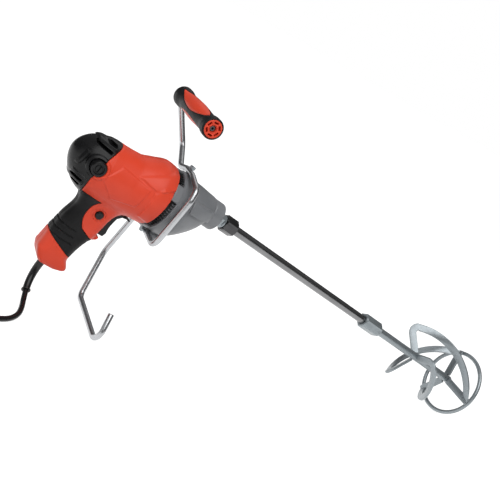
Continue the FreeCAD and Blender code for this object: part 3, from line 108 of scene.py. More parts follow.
class DrillColours(bpy.types.PropertyGroup):
    """Colours of the finishes."""
    housing: colour("Housing", "Orange-red moulding", (0.72, 0.056, 0.02))
    black: colour("Black plastic", "Cap, trigger and louvres", (0.005, 0.005, 0.0056))
    rubber: colour("Rubber", "Overmould, sleeve and bend relief", (0.0055, 0.0055, 0.006))
    casting: colour("Casting", "Painted die casting", (0.176, 0.184, 0.196))
    zinc: colour("Bright zinc", "Paddle head and coupler", (0.32, 0.355, 0.375))
    shaft: colour("Dark zinc", "Upper shaft", (0.26, 0.26, 0.265))
    nut: colour("Black nut", "Lock nut of the paddle", (0.09, 0.09, 0.093))
    rod: colour("Polished rod", "Carrying rod", (0.52, 0.53, 0.545))
    steel: colour("Oiled steel", "Bolts, screws, gears", (0.2, 0.2, 0.21))
    copper: colour("Copper", "Commutator", (0.65, 0.3, 0.15))
    bronze: colour("Bronze", "Bushes and brush holders", (0.55, 0.38, 0.16))
    floor: colour("Floor", "Plain pale floor", (0.8, 0.8, 0.8))


def in_mm(name):
    """One of the sizes in millimetres, as the forms are drawn."""
    return getattr(bpy.context.scene.drill_sizes, name) * PER_METRE


def tints():
    return bpy.context.scene.drill_colours


# Fields


def smooth_union(a, b, blend):
    share = np.clip(0.5 + 0.5 * (b - a) / blend, 0, 1)
    return b + (a - b) * share - blend * share * (1 - share)


def smooth_overlap(a, b, blend):
    return -smooth_union(-a, -b, blend)


def round_overlap(a, b, radius):
    """Where both fields are inside, with the edge between them rounded."""
    beyond = np.hypot(np.maximum(a + radius, 0), np.maximum(b + radius, 0))
    return np.minimum(-radius, np.maximum(a, b)) + beyond


def overlap(*fields):
    """Where all fields are inside, with sharp edges."""
    return functools.reduce(np.maximum, fields)


def cut_away(base, tool):
    return np.maximum(base, -tool)


def between(value, low, high):
    """Field of the slab between two places along one axis."""
    return np.maximum(low - value, value - high)


def from_axis(a, b, axis):
    """Distance from a line that stands on the plane of two coordinates."""
    return np.hypot(a - axis[0], b - axis[1])


def outline(x, z, corners):
    """Signed distance to a closed outline in the side view."""
    corners = [tuple(map(float, corner)) for corner in corners]
    nearest = np.full(np.broadcast(x, z).shape, 1e9)
    within = np.zeros(nearest.shape, bool)
    for (ax, az), (bx, bz) in zip(corners, corners[1:] + corners[:1]):
        ex, ez = bx - ax, bz - az
        share = np.clip(((x - ax) * ex + (z - az) * ez) / (ex * ex + ez * ez), 0, 1)
        nearest = np.minimum(nearest, (x - ax - ex * share) ** 2 + (z - az - ez * share) ** 2)
        if az != bz:
            within = within ^ (((az > z) != (bz > z)) & (x < ex * (z - az) / ez + ax))
    return np.where(within, -1, 1) * np.sqrt(nearest)


def block(x, y, z, low, high, rounding=0.0):
    """Box between two corners with rounded edges."""
    parts = []
    for value, lo, hi in zip((x, y, z), low, high):
        parts.append(np.abs(value - (lo + hi) / 2) - (hi - lo) / 2 + rounding)
    outside = np.sqrt(sum(np.maximum(part, 0) ** 2 for part in parts))
    return outside + np.minimum(overlap(*parts), 0) - rounding


def rise(distance, soft):
    """1 inside an outline and 0 outside, with a soft edge."""
    share = np.clip(0.5 - distance / (2 * soft), 0, 1)
    return share * share * (3 - 2 * share)


def table(rows, column):
    """Smooth curve without overshoot through one column of a table."""
    rows = sorted(rows)
    at = np.array([row[0] for row in rows], float)
    value = np.array([row[column] for row in rows], float)
    step = np.diff(value) / np.diff(at)
    slope = np.zeros(len(at))
    same = step[:-1] * step[1:] > 0
    slope[1:-1][same] = 2 * step[:-1][same] * step[1:][same] / (step[:-1][same] + step[1:][same])
    slope[0], slope[-1] = step[0], step[-1]

    def read(place):
        place = np.clip(place, at[0], at[-1])
        cell = np.clip(np.searchsorted(at, place) - 1, 0, len(at) - 2)
        wide = at[cell + 1] - at[cell]
        t = (place - at[cell]) / wide
        return (value[cell] * (1 + 2 * t) * (1 - t) ** 2 + value[cell + 1] * t * t * (3 - 2 * t)
                + wide * t * (1 - t) * (slope[cell] * (1 - t) - slope[cell + 1] * t))
    return read


CORNERS = np.array([(i, j, k) for i in (0, 1) for j in (0, 1) for k in (0, 1)])
EDGES = [(a, b) for a in range(8) for b in range(a + 1, 8) if abs(CORNERS[a] - CORNERS[b]).sum() == 1]
PULLS = 2  # times that a net's points are pulled onto the surface
PROBE = 0.05  # reach for the slope of a field, in millimetres
LONGEST_PULL = 0.5  # in grid steps
NORMAL_REACH = 0.4  # in grid steps
SHARP_ANGLE = math.radians(35)


def net_faces(inside, number):
    """Faces of a surface net, one round each grid edge that crosses the surface."""
    cells = number.shape
    unit = np.eye(3, dtype=int)
    faces = []
    for axis in range(3):
        u, v = (axis + 1) % 3, (axis + 2) % 3
        lower = inside[tuple(slice(0, -1) if i == axis else slice(None) for i in range(3))]
        upper = inside[tuple(slice(1, None) if i == axis else slice(None) for i in range(3))]
        edge = np.argwhere(lower != upper)
        edge = edge[(edge[:, u] > 0) & (edge[:, v] > 0) & (edge[:, u] < cells[u]) & (edge[:, v] < cells[v])]
        around = [edge - unit[u] - unit[v], edge - unit[v], edge, edge - unit[u]]
        quad = np.stack([number[tuple(place.T)] for place in around], axis=1)
        turned_over = ~lower[tuple(edge.T)]
        quad[turned_over] = quad[turned_over][:, ::-1]
        faces.append(quad)
    return np.concatenate(faces)


def surface_net(name, values):
    """Points, counted in grid cells, and faces of the zero level of a grid of values."""
    inside = values < 0
    cells = tuple(count - 1 for count in values.shape)
    filled = np.zeros(cells, np.int8)
    for i, j, k in CORNERS:
        filled += inside[i:i + cells[0], j:j + cells[1], k:k + cells[2]]
    mixed = (filled > 0) & (filled < len(CORNERS))
    found = np.argwhere(mixed)
    if not len(found):
        raise RuntimeError(f"{name}: the field has no surface in its box")
    corner_values = np.stack([values[tuple((found + corner).T)] for corner in CORNERS], axis=1)
    total = np.zeros((len(found), 3))
    count = np.zeros((len(found), 1))
    for a, b in EDGES:
        start, end = corner_values[:, a], corner_values[:, b]
        crossed = (start < 0) != (end < 0)
        share = np.where(crossed, start / np.where(crossed, start - end, 1), 0)
        total += np.where(crossed[:, None], CORNERS[a] + share[:, None] * (CORNERS[b] - CORNERS[a]), 0)
        count += crossed[:, None]
    number = np.full(cells, -1)
    number[mixed] = np.arange(len(found))
    return found + total / count, net_faces(inside, number)


def field_mesh(name, field, low, high, step, turn=None):
    """Closed mesh of the zero level of a field inside a box, with normals from the field itself."""
    axes = [np.arange(lo, hi + step, step) for lo, hi in zip(low, high)]
    values = field(axes[0][:, None, None], axes[1][None, :, None], axes[2][None, None, :])
    values = np.ascontiguousarray(np.broadcast_to(values, tuple(len(axis) for axis in axes)))
    cell_points, faces = surface_net(name, values)
    points = np.array(low, float) + cell_points * step

    def at(places):
        return field(places[:, 0], places[:, 1], places[:, 2])

    def slope(places, reach):
        ways = np.eye(3) * reach
        return np.stack([(at(places + way) - at(places - way)) / (2 * reach) for way in ways], axis=1)

    for _ in range(PULLS):
        way = slope(points, PROBE)
        move = at(points)[:, None] * way / np.maximum((way ** 2).sum(axis=1, keepdims=True), 1e-6)
        far = np.maximum(np.linalg.norm(move, axis=1, keepdims=True), 1e-9)
        points = points - move * np.minimum(1, LONGEST_PULL * step / far)
    return stood_mesh(name, points, faces, slope(points, NORMAL_REACH * step), turn)


def stood_mesh(name, points, faces, normals=None, turn=None):
    """Mesh set on the floor from points in the tool's frame, or in a frame given by turn."""
    place = np.array(STAND if turn is None else turn)
    points = np.asarray(points, float) @ place[:3, :3].T + place[:3, 3]
    mesh = bpy.data.meshes.new(name)
    mesh.from_pydata(points.tolist(), [], [list(map(int, face)) for face in faces])
    mesh.validate()
    mesh.shade_smooth()
    if normals is None:
        mesh.set_sharp_from_angle(angle=SHARP_ANGLE)
    else:
        normals = normals @ place[:3, :3].T
        normals /= np.maximum(np.linalg.norm(normals, axis=1, keepdims=True), 1e-12)
        mesh.normals_split_custom_set_from_vertices(normals.tolist())
    return mesh


def skinned(sections, closed_loop=False):
    """Points and faces of a skin over equal sections, with its ends closed or joined to a loop."""
    sections = np.asarray(sections, float)
    count, size = sections.shape[:2]
    faces = []
    for row in range(count if closed_loop else count - 1):
        here, after = row * size, (row + 1) % count * size
        for place in range(size):
            beside = (place + 1) % size
            faces.append([here + place, here + beside, after + beside, after + place])
    if not closed_loop:
        faces.append(list(range(size))[::-1])
        faces.append(list(range((count - 1) * size, count * size)))
    return sections.reshape(-1, 3), faces


def joined(skins):
    """Points and faces of several skins in one."""
    points, faces = [], []
    for more, skin in skins:
        faces += [[index + len(points) for index in face] for face in skin]
        points += np.asarray(more).tolist()
    return points, faces


def turned(rings, count=96, closed_loop=False):
    """Sections round the spindle line: each ring is its place, its radius and, for a hexagon, its flats."""
    angles = TAU * np.arange(count) / count
    beside = (angles + math.pi / 6) % (math.pi / 3) - math.pi / 6
    sections = []
    for place, radius, *flats in rings:
        radii = np.full(count, float(radius))
        if flats:
            radii = np.minimum(radii, flats[0] / 2 / np.cos(beside))
        along = np.full(count, float(place))
        sections.append(np.stack([along, radii * np.cos(angles), radii * np.sin(angles)], axis=1))
    return skinned(sections, closed_loop)


def facing(origin, way):
    """Matrix that sets the X axis of a turned piece at a place and direction of the standing tool."""
    turn = Vector((1, 0, 0)).rotation_difference(Vector(way)).to_matrix().to_4x4()
    return STAND @ Matrix.Translation(Vector(origin)) @ turn


def tube_sections(points, radii, count):
    """Round sections along a line of points, carried along it without twist."""
    points = np.asarray(points, float)
    ways = np.gradient(points, axis=0)
    ways /= np.linalg.norm(ways, axis=1, keepdims=True)
    side = np.cross(ways[0], (0.31, 0.27, 0.91))
    angles = TAU * np.arange(count) / count
    sections = []
    for place, way, radius in zip(points, ways, np.broadcast_to(radii, len(points))):
        side = side - way * side.dot(way)
        side /= np.linalg.norm(side)
        other = np.cross(way, side)
        sections.append(place + radius * (np.cos(angles)[:, None] * side + np.sin(angles)[:, None] * other))
    return sections


def bent_bar(corners, radii, step):
    """Points along a bar bent over round formers at its corners."""
    corners = [Vector(corner) for corner in corners]
    points = [corners[0]]
    for before, corner, after, radius in zip(corners, corners[1:], corners[2:], radii):
        come = (corner - before).normalized()
        leave = (after - corner).normalized()
        turn = come.angle(leave)
        reach = radius * math.tan(turn / 2)
        inward = (leave - come * leave.dot(come)).normalized()
        start = corner - come * reach
        steps = max(4, math.ceil(radius * turn / step))
        for number in range(steps + 1):
            angle = turn * number / steps
            points.append(start + come * (radius * math.sin(angle))
                          + inward * (radius * (1 - math.cos(angle))))
    points.append(corners[-1])
    return [tuple(point) for point in points]


def add_piece(name, mesh, finish, body, node):
    """Put a finished mesh in the scene, riding on its body in place of its CAD node."""
    mesh.materials.clear()
    mesh.materials.append(finish)
    piece = bpy.data.objects.new(name, mesh)
    bpy.context.scene.collection.objects.link(piece)
    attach(piece, body)
    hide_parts(node)
    return piece


def turned_piece(name, rings, finish, body, node, slot, **how):
    """A piece turned round the spindle line, or round the X axis of a frame given by turn."""
    turn = how.pop("turn", None)
    return add_piece(name, stood_mesh(name, *turned(rings, **how), turn=turn), finish, body, node)


# Finishes


def node_group(name, inputs, outputs):
    group = bpy.data.node_groups.new(name, "ShaderNodeTree")
    for label, kind, default in inputs:
        socket = group.interface.new_socket(name=label, in_out="INPUT", socket_type=kind)
        socket.default_value = default
    for label, kind in outputs:
        group.interface.new_socket(name=label, in_out="OUTPUT", socket_type=kind)
    return group, group.nodes.new("NodeGroupInput"), group.nodes.new("NodeGroupOutput")


def noise(group, place, scale, detail, stretch=None):
    """A noise texture on the given coordinates."""
    node = group.nodes.new("ShaderNodeTexNoise")
    node.inputs["Detail"].default_value = detail
    group.links.new(scale, node.inputs["Scale"])
    if stretch:
        mapping = group.nodes.new("ShaderNodeMapping")
        mapping.inputs["Scale"].default_value = stretch
        group.links.new(place, mapping.inputs["Vector"])
        place = mapping.outputs["Vector"]
    group.links.new(place, node.inputs["Vector"])
    return node.outputs["Fac"]


def arithmetic(group, operation, a, b):
    """A sum of an output with a number or another output."""
    node = group.nodes.new("ShaderNodeMath")
    node.operation = operation
    group.links.new(a, node.inputs[0])
    if hasattr(b, "is_output"):
        group.links.new(b, node.inputs[1])
    else:
        node.inputs[1].default_value = b
    return node.outputs[0]


def span(group, value, low, high, to_low, to_high):
    """An output taken from one range of numbers to another."""
    node = group.nodes.new("ShaderNodeMapRange")
    for socket, number in zip(list(node.inputs)[1:5], (low, high, to_low, to_high)):
        socket.default_value = number
    group.links.new(value, node.inputs[0])
    return node.outputs[0]


def blended(group, share, a, b):
    """Mix of two colours."""
    node = group.nodes.new("ShaderNodeMix")
    node.data_type = "RGBA"
    colours = [socket for socket in node.inputs if socket.type == "RGBA"]
    for socket, value in zip(colours, (a, b)):
        group.links.new(value, socket)
    group.links.new(share, node.inputs[0])
    return next(socket for socket in node.outputs if socket.type == "RGBA")


def moulded_grain():
    """Fine spark-eroded grain of a mould: a height for bump and a mask for the shine."""
    group, start, end = node_group(
        "Moulded grain", [("Place", "NodeSocketVector", (0, 0, 0)), ("Scale", "NodeSocketFloat", 1400)],
        [("Height", "NodeSocketFloat"), ("Shine", "NodeSocketFloat")])
    place = start.outputs["Place"]
    fine = noise(group, place, start.outputs["Scale"], 3)
    coarse = noise(group, place, arithmetic(group, "MULTIPLY", start.outputs["Scale"], 0.08), 2)
    group.links.new(fine, end.inputs["Height"])
    group.links.new(coarse, end.inputs["Shine"])
    return group


def handled_tone():
    """Slow change of tone from handling, dust and the mould's flow."""
    group, start, end = node_group(
        "Handled tone",
        [("Place", "NodeSocketVector", (0, 0, 0)), ("Base", "NodeSocketColor", (0.5, 0.5, 0.5, 1)),
         ("Worn", "NodeSocketColor", (0.6, 0.6, 0.6, 1)), ("Scale", "NodeSocketFloat", 18)],
        [("Colour", "NodeSocketColor")])
    slow = noise(group, start.outputs["Place"], start.outputs["Scale"], 4)
    mask = span(group, slow, 0.35, 0.7, 0, 1)
    group.links.new(blended(group, mask, start.outputs["Base"], start.outputs["Worn"]), end.inputs["Colour"])
    return group


def drawn_lines():
    """Lines that drawing or turning leaves on metal, with a faint crystal mottle."""
    group, start, end = node_group(
        "Drawn lines", [("Place", "NodeSocketVector", (0, 0, 0)), ("Scale", "NodeSocketFloat", 900)],
        [("Height", "NodeSocketFloat"), ("Mottle", "NodeSocketFloat")])
    lines = noise(group, start.outputs["Place"], start.outputs["Scale"], 2, (0.03, 1, 1))
    cells = group.nodes.new("ShaderNodeTexVoronoi")
    group.links.new(start.outputs["Place"], cells.inputs["Vector"])
    group.links.new(arithmetic(group, "MULTIPLY", start.outputs["Scale"], 0.25), cells.inputs["Scale"])
    group.links.new(lines, end.inputs["Height"])
    group.links.new(cells.outputs["Distance"], end.inputs["Mottle"])
    return group


def shared(name, make):
    return bpy.data.node_groups.get(name) or make()


def finish_base(name):
    """A new material with its object coordinates, laid along the spindle line."""
    material = bpy.data.materials.new(name)
    material.use_nodes = True
    tree = material.node_tree
    coordinates = tree.nodes.new("ShaderNodeTexCoord")
    mapping = tree.nodes.new("ShaderNodeMapping")
    mapping.inputs["Rotation"].default_value = STAND.to_3x3().normalized().to_euler()
    mapping.vector_type = "TEXTURE"
    tree.links.new(coordinates.outputs["Object"], mapping.inputs["Vector"])
    return material, tree, tree.nodes["Principled BSDF"], mapping.outputs["Vector"]


def placed(tree, group, place, **values):
    node = tree.nodes.new("ShaderNodeGroup")
    node.node_tree = group
    tree.links.new(place, node.inputs["Place"])
    for label, value in values.items():
        node.inputs[label].default_value = value
    return node


def add_bump(tree, shader, height, strength, distance):
    bump = tree.nodes.new("ShaderNodeBump")
    bump.inputs["Strength"].default_value = strength
    bump.inputs["Distance"].default_value = distance
    tree.links.new(height, bump.inputs["Height"])
    tree.links.new(bump.outputs["Normal"], shader.inputs["Normal"])


NOISE_RANGE = (0.3, 0.7)
GRAIN_HEIGHT = 0.0002
LINE_HEIGHT = 0.00008


def toned(tree, shader, place, base, worn, scale):
    """Base colour with the slow change of tone."""
    tone = placed(tree, shared("Handled tone", handled_tone), place,
                  Base=(*base, 1), Worn=(*worn, 1), Scale=scale)
    tree.links.new(tone.outputs["Colour"], shader.inputs["Base Color"])


def moulded(name, base, worn, rough, grain_scale, grain, specular=0.5, metallic=0.0):
    """A moulded finish: grain in bump and shine, slow tone from handling."""
    if name in bpy.data.materials:
        return bpy.data.materials[name]
    material, tree, shader, place = finish_base(name)
    toned(tree, shader, place, base, worn, 16.0)
    grained = placed(tree, shared("Moulded grain", moulded_grain), place, Scale=float(grain_scale))
    shine = span(tree, grained.outputs["Shine"], *NOISE_RANGE, *rough)
    tree.links.new(shine, shader.inputs["Roughness"])
    add_bump(tree, shader, grained.outputs["Height"], grain, GRAIN_HEIGHT)
    shader.inputs["Specular IOR Level"].default_value = specular
    shader.inputs["Metallic"].default_value = metallic
    return material


def metal(name, base, worn, rough, line_scale, lines, metallic=1.0, mottle=0.0):
    """A metal finish: drawn lines in bump, zinc mottle in the shine and slow tone."""
    if name in bpy.data.materials:
        return bpy.data.materials[name]
    material, tree, shader, place = finish_base(name)
    toned(tree, shader, place, base, worn, 30.0)
    drawn = placed(tree, shared("Drawn lines", drawn_lines), place, Scale=float(line_scale))
    spread = arithmetic(tree, "MULTIPLY", drawn.outputs["Mottle"], mottle)
    shine = span(tree, drawn.outputs["Height"], *NOISE_RANGE, *rough)
    tree.links.new(arithmetic(tree, "ADD", shine, spread), shader.inputs["Roughness"])
    add_bump(tree, shader, drawn.outputs["Height"], lines, LINE_HEIGHT)
    shader.inputs["Metallic"].default_value = metallic
    return material


def lighter(base, share):
    return tuple(channel + (1 - channel) * share for channel in base)


def darker(base, share):
    return tuple(channel * (1 - share) for channel in base)


def orange_plastic():
    base = tuple(tints().housing)
    return moulded("Orange plastic", darker(base, 0.06), lighter(base, 0.01), (0.34, 0.44), 1900, 0.12,
                   specular=0.3)


def black_plastic():
    base = tuple(tints().black)
    return moulded("Black plastic", base, lighter(base, 0.006), (0.24, 0.33), 1700, 0.1, specular=0.24)


def black_rubber():
    base = tuple(tints().rubber)
    return moulded("Black rubber", base, lighter(base, 0.008), (0.42, 0.54), 1200, 0.3, specular=0.16)


def cord_sheath():
    base = darker(tuple(tints().black), 0.2)
    return moulded("Cord sheath", base, lighter(base, 0.006), (0.22, 0.3), 900, 0.06, specular=0.4)


def cast_paint():
    base = tuple(tints().casting)
    return moulded("Cast paint", darker(base, 0.1), lighter(base, 0.05), (0.34, 0.46), 700, 0.2,
                   specular=0.45, metallic=0.12)


def bright_zinc():
    base = tuple(tints().zinc)
    return metal("Bright zinc", darker(base, 0.12), base, (0.22, 0.32), 700, 0.08, metallic=0.68, mottle=0.12)


def dark_zinc():
    base = tuple(tints().shaft)
    return metal("Dark zinc", darker(base, 0.18), base, (0.2, 0.3), 1100, 0.08)


def black_nut():
    base = tuple(tints().nut)
    return metal("Black nut", darker(base, 0.2), base, (0.2, 0.3), 1100, 0.06)


def polished_rod():
    base = tuple(tints().rod)
    return metal("Polished rod", darker(base, 0.1), base, (0.26, 0.34), 900, 0.02)


def oiled_steel():
    base = tuple(tints().steel)
    return metal("Oiled steel", base, lighter(base, 0.08), (0.28, 0.4), 1400, 0.2)


def laminated_steel():
    base = lighter(tuple(tints().steel), 0.1)
    return metal("Laminated steel", base, darker(base, 0.3), (0.4, 0.55), 2600, 0.4)


def turned_copper():
    base = tuple(tints().copper)
    return metal("Turned copper", base, darker(base, 0.25), (0.24, 0.36), 1600, 0.3)


def bush_bronze():
    base = tuple(tints().bronze)
    return metal("Bush bronze", base, darker(base, 0.2), (0.3, 0.45), 1600, 0.25)


def brush_carbon():
    return moulded("Brush carbon", (0.03, 0.03, 0.03), (0.05, 0.05, 0.052), (0.6, 0.75), 900, 0.5)


# Forms of the housing


SIDES = (("right", -1), ("left", 1))

# Each row is the distance behind the nose end, the radius and the drop below the spindle line.
BARREL = ((88, 42.6, 20), (90, 43, 20), (103, 44, 20.2), (121, 41.5, 24.5), (139, 39, 29), (165, 39, 31),
          (188, 38, 31))
BARREL_RADIUS = table(BARREL, 1)
BARREL_DROP = table(BARREL, 2)

# Each row is a height, the rear and the front of the grip there, and half of its thickness.
GRIP = ((-172, -163, -128, 15.5), (-164, -170.5, -127.5, 19), (-152, -176, -133, 20),
        (-136, -176, -131, 18.5), (-120, -174.5, -127, 18), (-105, -173, -121.5, 18),
        (-84, -169.5, -119.5, 18), (-66, -172, -116.5, 18.5), (-48, -170, -113, 18.5),
        (-30, -168, -110, 18.5))
GRIP_REAR = table(GRIP, 1)
GRIP_FRONT = table(GRIP, 2)
GRIP_HALF = table(GRIP, 3)
GRIP_TOP = -34
GRIP_CORNER, BUTT_CORNER = 13.0, 7.0
BUTT_START, BUTT_RUN = -150.0, 14  # where the corner starts to tighten, and over what height
BUTT_BOTTOM, BUTT_FRONT, BUTT_SLANT, BUTT_ROUND = -171.0, -143, 0.32, 1.8
BEAK = ((-133, -103), (-117.5, -107), (-118.5, -110.5), (-133, -121))
BEAK_HALF, BEAK_BLEND = 9, 2.0
GRIP_BLEND = 9.0

DOME_START = -174.0
DOME_DEPTH = 42.5
DOME_RADIUS = 38.6
DOME_DROP = 31
DOME_LIFT = 4.0
DOME_POWER = 1.75

# The cap ends at an arc and at its lowest edge.
CAP_FRONT, CAP_LOW = -150, -70.5
CAP_ARC, CAP_ARC_RADIUS = (-126, -36), 60
CAP_END = -207  # inside of the end wall
# Each row of the slots and bars is a height, and where it starts and ends along the tool.
CAP_SLOTS = ((3.4, -188.5, -176.5), (-4.4, -200.5, -180.5), (-52.3, -202, -190), (-59, -198, -187))
SLOT_HALF, SLOT_DEPTH, SLOT_ROUND = 1.8, 5.6, 1.5
SLOT_FROM, SLOT_TO = 5.0, 80  # distances from the parting plane
SLOT_SHADE_BACKING, SHADE_BACKING_REACH = 4.2, 2.4  # black wall added behind a slot as painted shade for the dark inside the vent, and how far round it
CAP_BARS = ((-0.4, -199, -177), (-48.4, -205, -188), (-55.7, -202, -187))
BAR_HALF, BAR_RISE = 2.6, 1.5
SPINE_PLACE, SPINE_HALF, SPINE_LEAN, SPINE_RISE = (-205.6, -28), (1.5, 10), 0.15, 2.6
SPINE_FROM = 8  # distance from the parting plane

# Places in the side view: along the tool, and height.
BRUSH = (-187.0, -26.0)
BRUSH_HOLE = 9.45
BRUSH_RING, RING_HALF, RING_RISE = 12.0, 1.9, 1.7
BUTTON = (-140.0, -79.0)
BUTTON_HOLE, BUTTON_SINK, SINK_FLOOR = 5.45, 8.2, -17.2
CORD_EXIT = (-154.0, -174.0)
CORD_HOLE, CORD_HOLE_TOP = 5.15, -160
SCREWS = ((-141, -163), (-128, -108.6), (-113, -58), (-113, 11), (-168, -50))
SCREW_POST, SCREW_SINK, POST_TOP, SINK_BOTTOM = 4.6, 3.45, 16, 9.9
HOUSING_FRONT = -90.2

# Outlines in the side view.
SIDE_PANEL = ((-176, -33), (-161, -9), (-119, -12), (-121, -41), (-151, -50))
SHOULDER = ((-137, -7), (-97, 20), (-86, 20), (-86, 6), (-112, -9))
CHEEK = ((-112, -12), (-105, -1), (-86, -2), (-86, -52), (-108, -49))
# Each panel is its outline, its rise as a share of the panel rise, and the softness of its edge.
PANELS = ((SIDE_PANEL, 1.0, 0.8), (SHOULDER, 1.4, 1.3), (CHEEK, 1.5, 1.5))
PANELS_FROM = 12  # distance from the parting plane
TRIGGER_TOP = -65.1
TRIGGER_SLOT = ((-136, -8.4, -105), (-88, 8.4, TRIGGER_TOP))
TRIGGER_NOTCH = ((-126, -105), (-125.4, -98), (-124.6, -84), (-122.6, -74), (-119.5, -68.4),
                 (-113, TRIGGER_TOP), (-88, TRIGGER_TOP), (-88, -105))
TRIGGER_SIDE = ((-129.3, -104), (-114.5, -103.5), (-113, -98), (-114.3, -91), (-114.5, -86), (-114.2, -80),
                (-113.5, -74), (-109, -69), (-103, -67.8), (-98, -69.2), (-97, -67.5), (-101, -65.6),
                (-129.3, -65.6))
TRIGGER_HALF, SKIRT_INSIDE, TRIGGER_BACK = 8.0, 6.9, -121
PAD_GROOVES = (-112, -121, -130)
PAD_RISE, PAD_GROOVE_HALF = 0.2, 0.7
GROOVE_END, GROOVE_LEAN = (-147.5, -121), 0.35


def arc_points(start, middle, end, count):
    """Points of the arc through three points in the side view."""
    (ax, az), (bx, bz), (cx, cz) = start, middle, end
    scale = 2 * (ax * (bz - cz) + bx * (cz - az) + cx * (az - bz))
    a2, b2, c2 = ax * ax + az * az, bx * bx + bz * bz, cx * cx + cz * cz
    x = (a2 * (bz - cz) + b2 * (cz - az) + c2 * (az - bz)) / scale
    z = (a2 * (cx - bx) + b2 * (ax - cx) + c2 * (bx - ax)) / scale
    radius = math.hypot(ax - x, az - z)
    first, mid, last = (math.atan2(pz - z, px - x) for px, pz in (start, middle, end))
    turn = (last - first) % TAU
    if (mid - first) % TAU > turn:
        turn -= TAU
    return [(x + radius * math.cos(first + turn * i / count), z + radius * math.sin(first + turn * i / count))
            for i in range(count + 1)]


RUBBER = ([(-190, -63)] + arc_points((-150, -63), (-156.5, -85), (-147, -105), 8)
          + [(-110, -120), (-110, -157.7), (-190, -124.8)])


def barrel(x, y, z):
    """Motor barrel with its domed end."""
    back = -x
    across = np.hypot(y, z + BARREL_DROP(back)) - BARREL_RADIUS(back)
    along = np.maximum(DOME_START - x, 0) / DOME_DEPTH
    wide = np.hypot(y, z + DOME_DROP - DOME_LIFT * along ** 2) / DOME_RADIUS
    size = np.maximum(along ** DOME_POWER + wide ** DOME_POWER, 1e-6) ** (1 / DOME_POWER)
    steep = DOME_POWER - 1
    slope = np.hypot(along ** steep / DOME_DEPTH, wide ** steep / DOME_RADIUS) / size ** steep
    dome = (size - 1) / np.maximum(slope, 1e-3)
    return np.where(x < DOME_START, dome, across)


def pistol_grip(x, y, z):
    """Pistol grip and butt, with the beak that ends the trigger's notch."""
    rear, front = GRIP_REAR(z), GRIP_FRONT(z)
    corner = GRIP_CORNER - (GRIP_CORNER - BUTT_CORNER) * np.clip((BUTT_START - z) / BUTT_RUN, 0, 1)
    along = np.abs(x - (rear + front) / 2) - (front - rear) / 2 + corner
    across = np.abs(y) - GRIP_HALF(z) + corner
    level = np.hypot(np.maximum(along, 0), np.maximum(across, 0))
    level = level + np.minimum(np.maximum(along, across), 0) - corner
    bottom = BUTT_BOTTOM + BUTT_SLANT * np.maximum(x - BUTT_FRONT, 0) - z
    level = np.maximum(round_overlap(level, bottom, BUTT_ROUND), z - GRIP_TOP)
    return smooth_union(level, np.maximum(outline(x, z, BEAK), np.abs(y) - BEAK_HALF), BEAK_BLEND)


def plain_form(x, y, z):
    """Barrel and grip flowing into each other."""
    return smooth_union(barrel(x, y, z), pistol_grip(x, y, z), GRIP_BLEND)


def housing_form(x, y, z):
    """The outside of housing and cap with raised panels, and a raised ring round each brush cover."""
    side = rise(PANELS_FROM - np.abs(y), 3.0)
    ring = RING_RISE * rise(np.abs(from_axis(x, z, BRUSH) - BRUSH_RING) - RING_HALF, 0.6)
    panels = sum(share * in_mm("panel_rise") * rise(outline(x, z, shape), soft)
                 for shape, share, soft in PANELS)
    return plain_form(x, y, z) - side * (panels + ring)


def cap_side(x, z):
    """Negative behind the curved joint line of the rear cap."""
    return overlap(x - CAP_FRONT, CAP_ARC_RADIUS - from_axis(x, z, CAP_ARC), CAP_LOW - z)


def half_of(y, side):
    """Negative on one side of the parting plane."""
    return 0.7 * in_mm("seam") - side * y


def trigger_room(x, y, z):
    """Slot for the trigger, and the notch in the grip's front that shows the trigger's sides."""
    return np.minimum(block(x, y, z, *TRIGGER_SLOT, 0.4), outline(x, z, TRIGGER_NOTCH))


def housing_half(side):
    """Field of one clamshell half: side is -1 for the tool's right and 1 for its left."""
    seam, edge, wall = in_mm("seam"), in_mm("edge_round"), in_mm("shell_wall")
    pocket = in_mm("rubber_depth") + seam

    def field(x, y, z):
        plain = plain_form(x, y, z)
        shell = round_overlap(housing_form(x, y, z), half_of(y, side), edge)
        shell = round_overlap(shell, -cap_side(x, z) + seam, edge)
        shell = round_overlap(shell, x - HOUSING_FRONT, edge * 1.6)
        rubber = np.maximum(outline(x, z, RUBBER) - seam, -(plain + pocket))
        cord_way = np.maximum(np.hypot(x - CORD_EXIT[0], y) - CORD_HOLE, z - CORD_HOLE_TOP)
        brush_hole = from_axis(x, z, BRUSH) - BRUSH_HOLE
        for hollow in (rubber, plain + wall, trigger_room(x, y, z), cord_way, brush_hole):
            shell = cut_away(shell, hollow)
        if side < 0:
            far = from_axis(x, z, BUTTON)
            shell = cut_away(shell, far - BUTTON_HOLE)
            return smooth_overlap(shell, -np.maximum(far - BUTTON_SINK, y - SINK_FLOOR), 0.5)
        for place in SCREWS:
            far = from_axis(x, z, place)
            post = overlap(far - SCREW_POST, y - POST_TOP, plain + 1, half_of(y, side))
            shell = cut_away(np.minimum(shell, post), np.maximum(far - SCREW_SINK, SINK_BOTTOM - y))
        return shell
    return field


